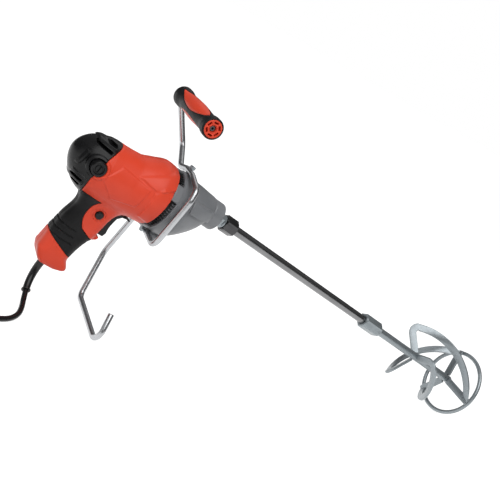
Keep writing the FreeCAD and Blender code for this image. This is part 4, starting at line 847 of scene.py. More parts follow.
def rear_cap(x, y, z):
    """Black cap: dome with deep slots between raised bars and a thin rib beside each brush cover."""
    plain = barrel(x, y, z)
    outside = housing_form(x, y, z)
    for height, low, high in CAP_BARS:
        strip = np.maximum(np.abs(z - height) - BAR_HALF, between(x, low, high))
        outside = outside - BAR_RISE * rise(strip, 0.9)
    along, above = x - SPINE_PLACE[0], z - SPINE_PLACE[1]
    spine = np.maximum(np.abs(along - SPINE_LEAN * above) - SPINE_HALF[0], np.abs(above) - SPINE_HALF[1])
    outside = outside - SPINE_RISE * rise(spine, 0.6) * rise(SPINE_FROM - np.abs(y), 3)
    shell = round_overlap(outside, cap_side(x, z) + in_mm("seam"), in_mm("edge_round"))
    slots = []
    for height, low, high in CAP_SLOTS:
        slots.append(block(x, np.abs(y), z, (low, SLOT_FROM, height - SLOT_HALF),
                           (high, SLOT_TO, height + SLOT_HALF), SLOT_ROUND))
    slots = functools.reduce(np.minimum, slots)
    # Painted shade: a black wall closes each slot from behind, so the slots read dark in place of open vents
    # with shade inside.
    wall_and_shade_backing = in_mm("shell_wall") + SLOT_SHADE_BACKING * rise(slots - SHADE_BACKING_REACH, 1.2)
    shell = cut_away(shell, np.maximum(plain + wall_and_shade_backing, CAP_END - x))
    shell = smooth_overlap(shell, -np.maximum(slots, -(plain + SLOT_DEPTH)), 0.6)
    return cut_away(shell, from_axis(x, z, BRUSH) - BRUSH_HOLE)


def rubber_pad(side):
    """Field of one rubber pad with its three grooves."""
    seam, depth, groove = in_mm("seam"), in_mm("rubber_depth"), in_mm("groove_depth")

    def field(x, y, z):
        plain = plain_form(x, y, z)
        grooves = 0
        for height in PAD_GROOVES:
            end = x - GROOVE_END[0] + GROOVE_LEAN * (z - GROOVE_END[1])
            line = np.maximum(np.abs(z - height) - PAD_GROOVE_HALF, end)
            grooves = grooves + groove * rise(line, 0.7)
        pad = round_overlap(plain - PAD_RISE + grooves, half_of(y, side), 0.4)
        pad = round_overlap(pad, outline(x, z, RUBBER) + seam, 0.5)
        pad = round_overlap(pad, -cap_side(x, z) + seam, 0.5)
        return cut_away(pad, plain + depth)
    return field


def trigger_form(x, y, z):
    """Trigger with a finger hollow, a forward lip at its top and a skirt on each side."""
    lever = round_overlap(outline(x, z, TRIGGER_SIDE), np.abs(y) - TRIGGER_HALF, 1.3)
    return cut_away(lever, np.maximum(np.abs(y) - SKIRT_INSIDE, x - TRIGGER_BACK))


# Forms of the gear casting


# Each row is the distance behind the nose end, the radius and the drop below the spindle line.
CASTING = ((0, 18.6, 0), (2, 20, 0), (17, 20, 0), (20, 22.4, 1.8), (28.4, 29.2, 8.0), (43.4, 37.6, 15.2),
           (53, 41.4, 18.6), (61, 43, 20), (97, 43, 20))
CAST_RADIUS = table(CASTING, 1)
CAST_DROP = table(CASTING, 2)
BOWL_SLOPE = 0.86  # of the field, because the bowl is a cone
RIM_START, RIM_RADIUS, RIM_DROP, RIM_REAR = 61, 43, 20, -90.0
SPIGOT_RADIUS, SPIGOT = 39.9, (-97, -88)
ROOM_RADIUS, ROOM_FRONT = 39.5, -62
TOOTH_RADIUS, TOOTH_ROOM = 19, (-64, -40)
SEAT_RADIUS, SEAT_REAR = 17.52, -21
RIB_HEIGHT, RIB_HALF, RIB, RIB_RISE = -0.5, 8.0, (-60, -19.5), 3.6
KEEL_HALF, KEEL, KEEL_RISE = 2.2, (-58, -30), 1.3
LIP_PLACE, LIP_HALF, LIP_RISE = -84.5, 5.3, 0.5
GROOVE_PLACE, GROOVE_HALF, GROOVE_DEPTH = -17.4, 0.7, 0.9
NOSE_END, NOSE_ROUND = -0.2, 1.2
TOP_BOSS, TOP_BOSS_RADIUS, TOP_BOSS_HEIGHT = (-72, 4), 7, (10, 23.7)
LOW_BOSS, LOW_BOSS_RADIUS, LOW_BOSS_LENGTH = (0, -68), 5.75, (-64.2, -45)
WINDOWS = ((112, 40), (199, 72), (68, 40), (-19, 72))  # middle and width, in degrees
WINDOW_FRONT = -80.3


def gear_casting(x, y, z):
    """Cast gear housing: offset bowl, bearing nose, ribs, bosses, windows and bore."""
    back = -x
    from_spindle = np.hypot(y, z)
    from_motor = np.hypot(y, z + RIM_DROP)
    bowl = (np.hypot(y, z + CAST_DROP(back)) - CAST_RADIUS(back)) * BOWL_SLOPE
    outside = np.where(back > RIM_START, from_motor - RIM_RADIUS, bowl)
    rib = np.maximum(np.abs(z - RIB_HEIGHT) - RIB_HALF, between(x, *RIB))
    outside = outside - RIB_RISE * rise(rib, 0.4)
    keel = np.maximum(np.abs(y) - KEEL_HALF, between(x, *KEEL))
    outside = outside - KEEL_RISE * rise(keel, 1.0) * rise(z + RIM_DROP, 6)
    outside = outside - LIP_RISE * rise(np.abs(x - LIP_PLACE) - LIP_HALF, 0.8)
    outside = outside + GROOVE_DEPTH * rise(np.abs(x - GROOVE_PLACE) - GROOVE_HALF, 0.5)
    outside = np.maximum(round_overlap(outside, x - NOSE_END, NOSE_ROUND), RIM_REAR - x)
    outside = np.minimum(outside, np.maximum(from_motor - SPIGOT_RADIUS, between(x, *SPIGOT)))
    top = np.maximum(from_axis(x, y, TOP_BOSS) - TOP_BOSS_RADIUS, between(z, *TOP_BOSS_HEIGHT))
    low = np.maximum(from_axis(y, z, LOW_BOSS) - LOW_BOSS_RADIUS, between(x, *LOW_BOSS_LENGTH))
    outside = smooth_union(smooth_union(outside, top, 2.5), low, 3.0)
    motor_room = np.maximum(from_motor - ROOM_RADIUS, x - ROOM_FRONT)
    tooth_room = np.maximum(from_spindle - TOOTH_RADIUS, between(x, *TOOTH_ROOM))
    bearing_seat = np.maximum(from_spindle - SEAT_RADIUS, SEAT_REAR - x)
    for hollow in (motor_room, tooth_room, bearing_seat):
        outside = cut_away(outside, hollow)
    angle = np.degrees(np.arctan2(z + RIM_DROP, y))
    for middle, wide in WINDOWS:
        off = (np.abs((angle - middle + 180) % 360 - 180) - wide / 2) * 0.72
        outside = smooth_overlap(outside, -np.maximum(off, x - WINDOW_FRONT), 0.7)
    return outside


# Forms of the hand grip


# Each row is a place along the grip and the radius there.
HAND = ((-63, 12.9), (-61, 13.72), (-54, 13.72), (-41, 12.05), (0, 13.25), (41, 12.05), (54, 13.72),
        (61, 13.72), (63, 12.9))
HAND_RADIUS = table(HAND, 1)
HAND_HALF = 63.0
HAND_LEFT = 3.0
HAND_PLACE = (-117.0, 94.0)
SLEEVE_DEPTH = 1.6
LENS_TURNS = (math.radians(-46), math.radians(-9))
LENS_HALF = (52.0, 10.8)
LENS_GAP = 0.12
PAD_INSET = 0.15
CORE_GAP, CORE_BORE = 0.08, 4.05
END_TURN = math.radians(20)
END_SLOT, END_SLOT_HALF, END_SLOT_DEPTH = 7.9, (1.3, 3.0), 7.0
END_DISH, END_DISH_HALF, END_DISH_DEPTH = 4.9, 0.5, 0.9


def lens(x, y, z):
    """Distance to the lens-shaped windows in the sleeve, the upper and the lower one."""
    e, h = x - HAND_PLACE[0], z - HAND_PLACE[1]
    along = y - HAND_LEFT
    half_long, half_wide = LENS_HALF
    arc = (half_long ** 2 + half_wide ** 2) / (2 * half_wide)
    windows = []
    facings = []
    for side, turn in zip((1, -1), LENS_TURNS):
        across = np.abs(e * math.cos(turn) - h * math.sin(turn))
        windows.append(np.hypot(across + arc - half_wide, along) - arc)
        facings.append(side * (e * math.sin(turn) + h * math.cos(turn)))
    return np.where(facings[0] > facings[1], windows[0], windows[1])


def hand_round(x, y, z, inset):
    """The turned outside of the hand grip, drawn in."""
    along = y - HAND_LEFT
    radius = from_axis(x, z, HAND_PLACE) - HAND_RADIUS(along) + inset
    return round_overlap(radius, np.abs(along) - HAND_HALF, 1.2)


def hand_sleeve(x, y, z):
    """Rubber sleeve with its two windows."""
    sleeve = round_overlap(hand_round(x, y, z, 0), -lens(x, y, z) + LENS_GAP, 0.5)
    return cut_away(sleeve, from_axis(x, z, HAND_PLACE) - HAND_RADIUS(y - HAND_LEFT) + SLEEVE_DEPTH)


def hand_core(x, y, z):
    """Red core: the pads in the windows, the end discs and their slots."""
    radius = from_axis(x, z, HAND_PLACE)
    end = np.abs(y - HAND_LEFT) - HAND_HALF
    inner = round_overlap(radius - HAND_RADIUS(y - HAND_LEFT) + SLEEVE_DEPTH + CORE_GAP, end, 0.6)
    pads = round_overlap(hand_round(x, y, z, PAD_INSET), lens(x, y, z) + LENS_GAP, 0.5)
    core = cut_away(np.minimum(inner, pads), radius - CORE_BORE)
    angle = np.arctan2(z - HAND_PLACE[1], x - HAND_PLACE[0]) + END_TURN
    sector = (angle + math.pi / 6) % (math.pi / 3) - math.pi / 6
    along, across = radius * np.cos(sector) - END_SLOT, radius * np.sin(sector)
    slot = overlap(np.abs(along) - END_SLOT_HALF[0], np.abs(across) - END_SLOT_HALF[1], -END_SLOT_DEPTH - end)
    dish = np.maximum(np.abs(radius - END_DISH) - END_DISH_HALF, -END_DISH_DEPTH - end)
    return cut_away(cut_away(core, slot), dish)


# Geometry Nodes trees


def geometry_tree(name, inputs):
    tree = bpy.data.node_groups.new(name, "GeometryNodeTree")
    for label, kind, default in inputs:
        socket = tree.interface.new_socket(name=label, in_out="INPUT", socket_type=kind)
        if default is not None:
            socket.default_value = default
    tree.interface.new_socket(name="Geometry", in_out="OUTPUT", socket_type="NodeSocketGeometry")
    return tree, tree.nodes.new("NodeGroupInput"), tree.nodes.new("NodeGroupOutput")


def plain_mesh(name, tree, values, mesh=None):
    """Run a tree on a new object with its inputs set, and keep the result as a plain mesh."""
    holder = bpy.data.objects.new(name, mesh or bpy.data.meshes.new(name))
    bpy.context.scene.collection.objects.link(holder)
    modifier = holder.modifiers.new(name, "NODES")
    modifier.node_group = tree
    for item in tree.interface.items_tree:
        if item.item_type == "SOCKET" and item.in_out == "INPUT" and item.name in values:
            modifier[item.identifier] = values[item.name]
    graph = bpy.context.evaluated_depsgraph_get()
    made = bpy.data.meshes.new_from_object(holder.evaluated_get(graph))
    holder.modifiers.clear()
    bpy.data.objects.remove(holder)
    made.name = name
    return made


def end_tree(tree, start, end, scatter):
    """Make the scattered copies real, give them their finish and put them out."""
    real = tree.nodes.new("GeometryNodeRealizeInstances")
    paint = tree.nodes.new("GeometryNodeSetMaterial")
    tree.links.new(scatter.outputs[0], real.inputs[0])
    tree.links.new(real.outputs[0], paint.inputs["Geometry"])
    tree.links.new(start.outputs["Finish"], paint.inputs["Material"])
    tree.links.new(paint.outputs[0], end.inputs["Geometry"])
    return tree


def louvre_tree():
    """A vane at each point of the object's mesh, standing out from the Z axis."""
    tree, start, end = geometry_tree("Louvre vanes", [
        ("Geometry", "NodeSocketGeometry", None), ("Finish", "NodeSocketMaterial", None),
        *((label, "NodeSocketFloat", size) for label, size in VANE_SIZES.items())])
    new, link = tree.nodes.new, tree.links.new
    size = new("ShaderNodeCombineXYZ")
    for label, axis in (("Depth", "X"), ("Thickness", "Y"), ("Width", "Z")):
        link(start.outputs[label], size.inputs[axis])
    vane = new("GeometryNodeMeshCube")
    link(size.outputs[0], vane.inputs["Size"])
    place = new("GeometryNodeInputPosition")
    align = new("FunctionNodeAlignRotationToVector")
    align.axis = "X"
    align.pivot_axis = "Z"
    link(place.outputs[0], align.inputs["Vector"])
    scatter = new("GeometryNodeInstanceOnPoints")
    link(start.outputs["Geometry"], scatter.inputs["Points"])
    link(vane.outputs["Mesh"], scatter.inputs["Instance"])
    link(align.outputs[0], scatter.inputs["Rotation"])
    return end_tree(tree, start, end, scatter)


def screw_tree():
    """One screw set at each point of the object's mesh."""
    tree, start, end = geometry_tree("Screws at points", [
        ("Geometry", "NodeSocketGeometry", None), ("Screw", "NodeSocketObject", None),
        ("Finish", "NodeSocketMaterial", None)])
    new, link = tree.nodes.new, tree.links.new
    screw = new("GeometryNodeObjectInfo")
    link(start.outputs["Screw"], screw.inputs["Object"])
    scatter = new("GeometryNodeInstanceOnPoints")
    link(start.outputs["Geometry"], scatter.inputs["Points"])
    link(screw.outputs["Geometry"], scatter.inputs["Instance"])
    return end_tree(tree, start, end, scatter)


# Operators


class DrillOperator:
    """What the operators share."""
    bl_options = {"REGISTER"}


# The photograph's camera in the tool's frame: its right, the way it looks, its place and its lens.
PHOTO_RIGHT = (0.6773, -0.3502, 0.6470)
PHOTO_AHEAD = (0.5677, 0.8082, -0.1568)
PHOTO_PLACE = (-516.1, -844.9, 153.2)
PHOTO_LENS = 53.73
FLOOR_HALF = 30
FLOOR_SHADE, FLOOR_GLOW = 0.5, 0.82
LIT_POINT = (100, 0, -20)
# Each lamp is its name, its place to the camera's right, up and back from the lit point, its size and power.
LAMPS = (("key_lamp", (0.8, 1.0, 1.5), 2.2, 30), ("fill_lamp", (-1.2, 0.5, 1.4), 1.4, 3),
         ("rim_lamp", (0.5, 1.6, -0.6), 1.4, 3))
WORLD_LIGHT = 0.38
# What polished surfaces mirror, from straight down to straight up.
MIRRORED = ((0.0, 0.5), (0.42, 0.25), (0.5, 0.06), (0.66, 0.09), (0.85, 0.18), (1.0, 0.26))


def either(tree, rays, *names):
    """1 for a ray of any of these kinds."""
    kinds = [rays.outputs[name] for name in names]
    return functools.reduce(lambda a, b: arithmetic(tree, "MAXIMUM", a, b), kinds)


def mixed(tree, share, first, second):
    """Mix of two shaders."""
    node = tree.nodes.new("ShaderNodeMixShader")
    for socket, output in zip(node.inputs, (share, first.outputs[0], second.outputs[0])):
        tree.links.new(output, socket)
    return node


class DRILL_OT_stage(DrillOperator, bpy.types.Operator):
    """Camera, floor, lamps and world"""
    bl_idname = "drill.stage"
    bl_label = "Stage"

    def execute(self, context):
        scene = context.scene
        scene.view_settings.view_transform = "Standard"
        camera = self.set_camera(scene)
        self.lay_floor(scene)
        self.hang_lamps(scene, camera)
        self.light_world(scene)
        return {"FINISHED"}

    def set_camera(self, scene):
        right = Vector(PHOTO_RIGHT).normalized()
        ahead = Vector(PHOTO_AHEAD)
        ahead = (ahead - right * ahead.dot(right)).normalized()
        optics = bpy.data.cameras.new("photo_camera")
        optics.lens = PHOTO_LENS
        optics.sensor_width = 36.0
        optics.clip_start = 0.01
        optics.clip_end = 50
        camera = bpy.data.objects.new("photo_camera", optics)
        turn = STAND.to_3x3().normalized()
        basis = Matrix((turn @ right, turn @ right.cross(ahead), turn @ -ahead)).transposed().to_4x4()
        camera.matrix_world = Matrix.Translation(STAND @ Vector(PHOTO_PLACE)) @ basis
        scene.collection.objects.link(camera)
        scene.camera = camera
        return camera

    def lay_floor(self, scene):
        mesh = bpy.data.meshes.new("floor")
        edge = FLOOR_HALF
        mesh.from_pydata([(-edge, -edge, 0), (edge, -edge, 0), (edge, edge, 0), (-edge, edge, 0)], [],
                         [(0, 1, 2, 3)])
        floor = bpy.data.objects.new("floor", mesh)
        scene.collection.objects.link(floor)
        material = bpy.data.materials.new("Pale floor")
        material.use_nodes = True
        tree = material.node_tree
        tree.nodes.clear()
        new, link = tree.nodes.new, tree.links.new
        rays = new("ShaderNodeLightPath")
        pale = new("ShaderNodeBsdfDiffuse")
        pale.inputs["Color"].default_value = (*tints().floor, 1)
        shade = new("ShaderNodeBsdfDiffuse")
        shade.inputs["Color"].default_value = (FLOOR_SHADE, FLOOR_SHADE, FLOOR_SHADE, 1)
        glow = new("ShaderNodeEmission")
        glow.inputs["Strength"].default_value = FLOOR_GLOW
        seen = new("ShaderNodeAddShader")
        link(shade.outputs[0], seen.inputs[0])
        link(glow.outputs[0], seen.inputs[1])
        looked_at = either(tree, rays, "Is Camera Ray", "Is Glossy Ray", "Is Transmission Ray")
        end = new("ShaderNodeOutputMaterial")
        link(mixed(tree, looked_at, pale, seen).outputs[0], end.inputs["Surface"])
        mesh.materials.append(material)

    def hang_lamps(self, scene, camera):
        middle = STAND @ Vector(LIT_POINT)
        for name, place, size, power in LAMPS:
            place = camera.matrix_world.to_3x3() @ Vector(place)
            data = bpy.data.lights.new(name, "AREA")
            data.shape = "DISK"
            data.size = size
            data.energy = power
            lamp = bpy.data.objects.new(name, data)
            lamp.location = middle + place
            lamp.rotation_mode = "QUATERNION"
            lamp.rotation_quaternion = (-place).to_track_quat("-Z", "Y")
            scene.collection.objects.link(lamp)

    def light_world(self, scene):
        world = bpy.data.worlds.new("studio")
        world.use_nodes = True
        tree = world.node_tree
        tree.nodes.clear()
        new, link = tree.nodes.new, tree.links.new
        rays = new("ShaderNodeLightPath")
        direction = new("ShaderNodeTexCoord")
        height = new("ShaderNodeSeparateXYZ")
        link(direction.outputs["Generated"], height.inputs[0])
        ramp = new("ShaderNodeValToRGB")
        while len(ramp.color_ramp.elements) < len(MIRRORED):
            ramp.color_ramp.elements.new(0.5)
        for element, (place, value) in zip(ramp.color_ramp.elements, MIRRORED):
            element.position = place
            element.color = (value, value, value, 1)
        link(span(tree, height.outputs["Z"], -1, 1, 0, 1), ramp.inputs[0])
        soft, gloss, white = (new("ShaderNodeBackground") for _ in range(3))
        soft.inputs["Color"].default_value = white.inputs["Color"].default_value = (1, 1, 1, 1)
        soft.inputs["Strength"].default_value = WORLD_LIGHT
        link(ramp.outputs[0], gloss.inputs["Color"])
        unseen = mixed(tree, rays.outputs["Is Glossy Ray"], soft, gloss)
        looked_at = either(tree, rays, "Is Camera Ray", "Is Transmission Ray")
        end = new("ShaderNodeOutputWorld")
        link(mixed(tree, looked_at, unseen, white).outputs[0], end.inputs["Surface"])
        scene.world = world


RELIEF_KNEE = -178.0
RELIEF_RADIUS = 38.0
RELIEF_TURN = math.radians(60)
# Where the cord falls to the floor: steps from the bend relief's end, and the share of its height left.
CORD_FALL = ((-4, -27.5, 0.27), (-9, -42.5, 0.1), (-20, -55, 0), (-36, -62, 0), (-54, -63, 0), (-72, -60, 0),
             (-90, -55.5, 0), (-108, -53, 0))
CORD_LEVEL = 3.6
COIL_INNER = 29.3
COIL_PITCH = 7.8
COIL_TURNS = 3.25
COIL_CLIMB = 0.5
COIL_LEVEL = 4.6
COIL_STEPS = 16
PLUG_REACH = 28
PIN_HALF = 9.5
PIN_RINGS = ((44, 2.4), (61.5, 2.4), (63.2, 2.05), (64.4, 1.3), (64.9, 0.5))


def relief_point(angle):
    """Point of the bend relief's line after it has turned by an angle, in the tool's frame."""
    return (CORD_EXIT[0], -RELIEF_RADIUS * (1 - math.cos(angle)),
            RELIEF_KNEE - RELIEF_RADIUS * math.sin(angle))


def cord_start():
    """Where the cord leaves the bend relief and the way it leaves, on the floor's frame in millimetres."""
    way = Vector((0, -math.sin(RELIEF_TURN), -math.cos(RELIEF_TURN)))
    return (STAND @ Vector(relief_point(RELIEF_TURN))) * PER_METRE, (STAND.to_3x3() @ way).normalized()


def coil_centre():
    start = cord_start()[0]
    return Vector((start.x - 133, start.y - 52.5 + COIL_INNER + COIL_TURNS * COIL_PITCH, 0))


def coil_turn(share):
    """Point of the coil after this many turns: inwards on the floor, a climb, and outwards on top."""
    if share <= COIL_TURNS:
        radius, height = COIL_INNER + COIL_TURNS * COIL_PITCH - share * COIL_PITCH, 0.0
    elif share <= COIL_TURNS + COIL_CLIMB:
        climb = (share - COIL_TURNS) / COIL_CLIMB
        radius = COIL_INNER - 0.15 * COIL_PITCH * math.sin(math.pi * climb)
        height = COIL_PITCH * climb ** 2 * (3 - 2 * climb)
    else:
        radius, height = COIL_INNER + (share - COIL_TURNS - COIL_CLIMB) * COIL_PITCH, COIL_PITCH
    angle = -math.pi / 2 - TAU * share
    return coil_centre() + Vector((radius * math.cos(angle), radius * math.sin(angle), COIL_LEVEL + height))


def plug_form(x, y, z):
    """Plug with a ribbed sleeve and grip ridges."""
    radius = np.hypot(y, z)
    sleeve = np.maximum(radius - 5.2 - 0.145 * x, between(x, 0, 18))
    rings = np.abs((x + 1) % 4.0 - 2.0) - 0.5
    sleeve = sleeve + 0.7 * rise(np.maximum(rings, between(x, 2, 14)), 0.4)
    waist = 13.0 - 2.0 * np.sin(np.clip((x - 18) / 22, 0, 1) * math.pi) ** 2
    body = round_overlap(radius - waist, between(x, 15.6, 46), 2.2)
    body = round_overlap(body, np.abs(z) - 11.9, 1.5)
    ridges = np.maximum(np.abs((x + 0.5) % 3.5 - 1.75) - 0.5, between(x, 22, 38))
    body = body + 0.6 * rise(ridges, 0.5) * rise(8 - np.abs(y), 1)
    return smooth_union(sleeve, body, 2.0)


class DRILL_OT_mains_lead(DrillOperator, bpy.types.Operator):
    """Mains cord with its coil, tie, plug and pins"""
    bl_idname = "drill.mains_lead"
    bl_label = "Mains lead"

    def execute(self, context):
        start, way = cord_start()
        route = [start, start + way * 15]
        for x, y, height in CORD_FALL:
            route.append(Vector((start.x + x, start.y + y, CORD_LEVEL + (start.z - CORD_LEVEL) * height)))
        route.append(coil_turn(0) + Vector((7, 0, 0)))
        turns = 2 * COIL_TURNS + COIL_CLIMB
        route += [coil_turn(number / COIL_STEPS) for number in range(round(turns * COIL_STEPS) + 1)]
        last = coil_turn(turns)
        route += [last + Vector((-reach, 0, 0)) for reach in (10, PLUG_REACH, PLUG_REACH + 8)]
        diameter = context.scene.drill_sizes.cord_diameter
        curve = bpy.data.curves.new("mains_cord", "CURVE")
        curve.dimensions = "3D"
        spline = curve.splines.new("NURBS")
        spline.points.add(len(route) - 1)
        for point, place in zip(spline.points, route):
            point.co = (*(place / PER_METRE), 1)
        spline.order_u = 3
        spline.use_endpoint_u = True
        spline.resolution_u = 8
        curve.bevel_depth = diameter / 2
        curve.bevel_resolution = 5
        curve.use_fill_caps = True
        curve.materials.append(cord_sheath())
        cord = bpy.data.objects.new("mains_cord", curve)
        context.scene.collection.objects.link(cord)
        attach(cord, "tool")
        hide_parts("power_cord", "cord_coil")
        plug_at = Matrix.Translation((last + Vector((-PLUG_REACH, 0, 0))) / PER_METRE)
        plug_at = plug_at @ Matrix.Diagonal((-MM, -MM, MM, 1))
        plug = self.make_plug(plug_at)
        pins = self.make_pins(plug_at)
        tie = self.make_tie()
        return {"FINISHED"}

    def make_plug(self, place):
        mesh = field_mesh("plug_moulding", plug_form, (-2, -16, -15), (49, 16, 15), 0.6, place)
        return add_piece("plug_moulding", mesh, black_rubber(), "tool", "plug_body")

    def make_pins(self, place):
        points, faces = turned(PIN_RINGS, 24)
        points, faces = joined([(points + np.array((0, side, 0)), faces) for side in (-PIN_HALF, PIN_HALF)])
        mesh = stood_mesh("plug_contacts", points, faces, turn=place)
        return add_piece("plug_contacts", mesh, bright_zinc(), "tool", "plug_pins")

    def make_tie(self):
        inner, low = COIL_INNER - 3.9, COIL_LEVEL - 3.7
        outer, high = inner + (COIL_TURNS * COIL_PITCH + 7.8), low + (COIL_PITCH + 7.4)

        def field(x, y, z):
            hole = block(x, 0 * y, z, (inner, -1, low), (outer, 1, high), 2.4)
            strap = round_overlap(np.abs(hole - 0.4) - 0.4, np.abs(y) - 4.0, 0.25)
            lock = block(x, y, z, (outer - 9, -5, high + 0.1), (outer - 3, 5, high + 0.8), 0.3)
            return np.minimum(strap, lock)
        place = Matrix.Translation(coil_centre() / PER_METRE) @ Matrix.Scale(MM, 4)
        mesh = field_mesh("coil_strap", field, (inner - 2.4, -6, low - 2.4), (outer + 2.4, 6, high + 2.4),
                          0.4, place)
        return add_piece("coil_strap", mesh, black_plastic(), "tool", "coil_tie")


class DRILL_OT_bend_relief(DrillOperator, bpy.types.Operator):
    """Tapered bend relief under the butt, with a collar at its end"""
    bl_idname = "drill.bend_relief"
    bl_label = "Bend relief"

    def execute(self, context):
        line = [(CORD_EXIT[0], 0, height) for height in np.linspace(CORD_EXIT[1] + 12, RELIEF_KNEE, 8)]
        line += [relief_point(RELIEF_TURN * number / 40) for number in range(1, 41)]
        radii = [5.0] * 8 + list(np.linspace(5.0, 4.5, 37)) + [5.5, 5.9, 5.6]
        mesh = stood_mesh("bend_relief_sleeve", *skinned(tube_sections(line, radii, 36)))
        add_piece("bend_relief_sleeve", mesh, cord_sheath(), "tool", "bend_relief")
        return {"FINISHED"}


class DRILL_OT_housing(DrillOperator, bpy.types.Operator):
    """Both halves of the orange clamshell"""
    bl_idname = "drill.housing"
    bl_label = "Housing halves"

    def execute(self, context):
        for name, side in SIDES:
            low, high = sorted((side * -1.5, side * 48))
            mesh = field_mesh(f"shell_{name}", housing_half(side), (-190, low, -179), (-87, high, 28),
                              in_mm("field_step"))
            add_piece(f"shell_{name}", mesh, orange_plastic(), "tool", f"housing_{name}")
        return {"FINISHED"}


class DRILL_OT_rear_cap(DrillOperator, bpy.types.Operator):
    """Black rear cap with its cooling slots"""
    bl_idname = "drill.rear_cap"
    bl_label = "Rear cap"

    def execute(self, context):
        step = in_mm("field_step") * 0.85
        mesh = field_mesh("motor_cap", rear_cap, (-222, -43, -74), (-148, 43, 13), step)
        add_piece("motor_cap", mesh, black_plastic(), "tool", "rear_cap")
        return {"FINISHED"}


class DRILL_OT_grip_rubber(DrillOperator, bpy.types.Operator):
    """Rubber pads of the pistol grip"""
    bl_idname = "drill.grip_rubber"
    bl_label = "Grip rubber"

    def execute(self, context):
        for name, side in SIDES:
            low, high = sorted((side * -1.5, side * 25))
            mesh = field_mesh(f"pad_{name}", rubber_pad(side), (-183, low, -165), (-124, high, -60), 0.8)
            add_piece(f"pad_{name}", mesh, black_rubber(), "tool", f"grip_rubber_{name}")
        return {"FINISHED"}


VANE_RADIUS = 40.0
VANE_SIZES = {"Depth": 2.6, "Width": 8.4, "Thickness": 1.9}
VANE_PLACE, BAND_PLACE = (-85.3, 0, -20), (-86.9, 0, -20)
BAND_RINGS = ((-2.7, 39.4), (6.3, 39.4), (6.3, 35.5), (-2.7, 35.5))
VANE_BEVEL = 0.00025


class DRILL_OT_gear_casting(DrillOperator, bpy.types.Operator):
    """Grey gear casting and the louvred ring in its windows"""
    bl_idname = "drill.gear_casting"
    bl_label = "Gear casting"

    def execute(self, context):
        mesh = field_mesh("gear_case", gear_casting, (-99, -47, -76), (2, 47, 28), 1.0)
        add_piece("gear_case", mesh, cast_paint(), "tool", "gear_housing")
        finish = black_plastic()
        places = bpy.data.meshes.new("vane_places")
        places.from_pydata(self.vane_places(context.scene.drill_sizes.vane_pitch), [], [])
        vanes = plain_mesh("louvre_vanes", louvre_tree(), {**VANE_SIZES, "Finish": finish}, places)
        vanes.transform(STAND @ Matrix.Translation(VANE_PLACE) @ Matrix.Rotation(math.pi / 2, 4, "Y"))
        band = stood_mesh("louvre_band", *turned(BAND_RINGS, closed_loop=True),
                          turn=STAND @ Matrix.Translation(BAND_PLACE))
        ring = bmesh.new()
        ring.from_mesh(vanes)
        ring.from_mesh(band)
        corners = [edge for edge in ring.edges if edge.calc_length() > 0.003
                   and len(edge.link_faces) == 2 and edge.calc_face_angle(0) > 1.2]
        bmesh.ops.bevel(ring, geom=corners, offset=VANE_BEVEL, segments=1, affect="EDGES")
        ring.to_mesh(vanes)
        ring.free()
        add_piece("louvre_vanes", vanes, finish, "tool", "louvre_ring")
        return {"FINISHED"}

    def vane_places(self, pitch):
        """Places of the vanes round the Z axis, evenly in each window."""
        places = []
        for middle, wide in WINDOWS:
            count = int((wide - 3) / pitch)
            for number in range(count + 1):
                angle = math.radians(middle + (number - count / 2) * pitch)
                places.append((-VANE_RADIUS * math.sin(angle), VANE_RADIUS * math.cos(angle), 0))
        return places


BUTTON_RINGS = ((0, 5.2), (8.1, 5.2), (9.0, 4.9), (9.4, 4.3), (9.5, 3.4), (9.25, 2.2), (9.15, 0.6))


def brush_cover(x, y, z):
    """Round brush cover with a skirt, a sunk face and a slot for a screwdriver."""
    radius = np.hypot(y, z)
    cover = round_overlap(radius - 9.5, between(x, 0, 8.0), 1.1)
    cover = np.minimum(cover, np.maximum(np.abs(radius - 9.0) - 0.5, between(x, -6.0, 2.0)))
    cover = smooth_overlap(cover, -np.maximum(radius - 6.6, 6.0 - x), 0.5)
    cover = smooth_union(cover, np.maximum(radius - 4.4, between(x, 0, 7.2)), 0.6)
    return smooth_overlap(cover, -block(x, y, z, (5.2, -0.8, -4.9), (12, 0.8, 4.9), 0.3), 0.3)


class DRILL_OT_controls(DrillOperator, bpy.types.Operator):
    """Trigger, lock-on button and brush covers"""
    bl_idname = "drill.controls"
    bl_label = "Controls"

    def execute(self, context):
        finish = black_plastic()
        mesh = field_mesh("trigger_lever", trigger_form, (-132, -10, -106), (-95, 10, -63), 0.5)
        add_piece("trigger_lever", mesh, finish, "trigger", "trigger")
        turned_piece("lock_button", BUTTON_RINGS, finish, "lock_on_button", "lock_on_button", "black_plastic",
                     count=48, turn=facing((BUTTON[0], -10.0, BUTTON[1]), (0, -1, 0)))
        for name, side in SIDES:
            mesh = field_mesh(f"brush_cover_{name}", brush_cover, (-7, -10.5, -10.5), (9, 10.5, 10.5), 0.4,
                              facing((BRUSH[0], side * 32.6, BRUSH[1]), (0, side, 0)))
            add_piece(f"brush_cover_{name}", mesh, finish, "tool", f"brush_cap_{name}")
        return {"FINISHED"}


def screw_form(x, y, z):
    """Screw with a domed head and a cross recess."""
    radius = np.hypot(y, z)
    head = round_overlap(radius - 3.38, np.maximum(-x, x - 2.9 + 0.03 * radius ** 2), 0.4)
    across, upright = np.abs(y), np.abs(z)
    cross = np.minimum(np.maximum(across - 0.55, upright - 2.0), np.maximum(upright - 0.55, across - 2.0))
    head = cut_away(head, np.maximum(cross + 0.25 * (2.9 - x), 1.3 - x))
    return np.minimum(head, np.maximum(radius - 1.7, between(x, -19, 0.5)))


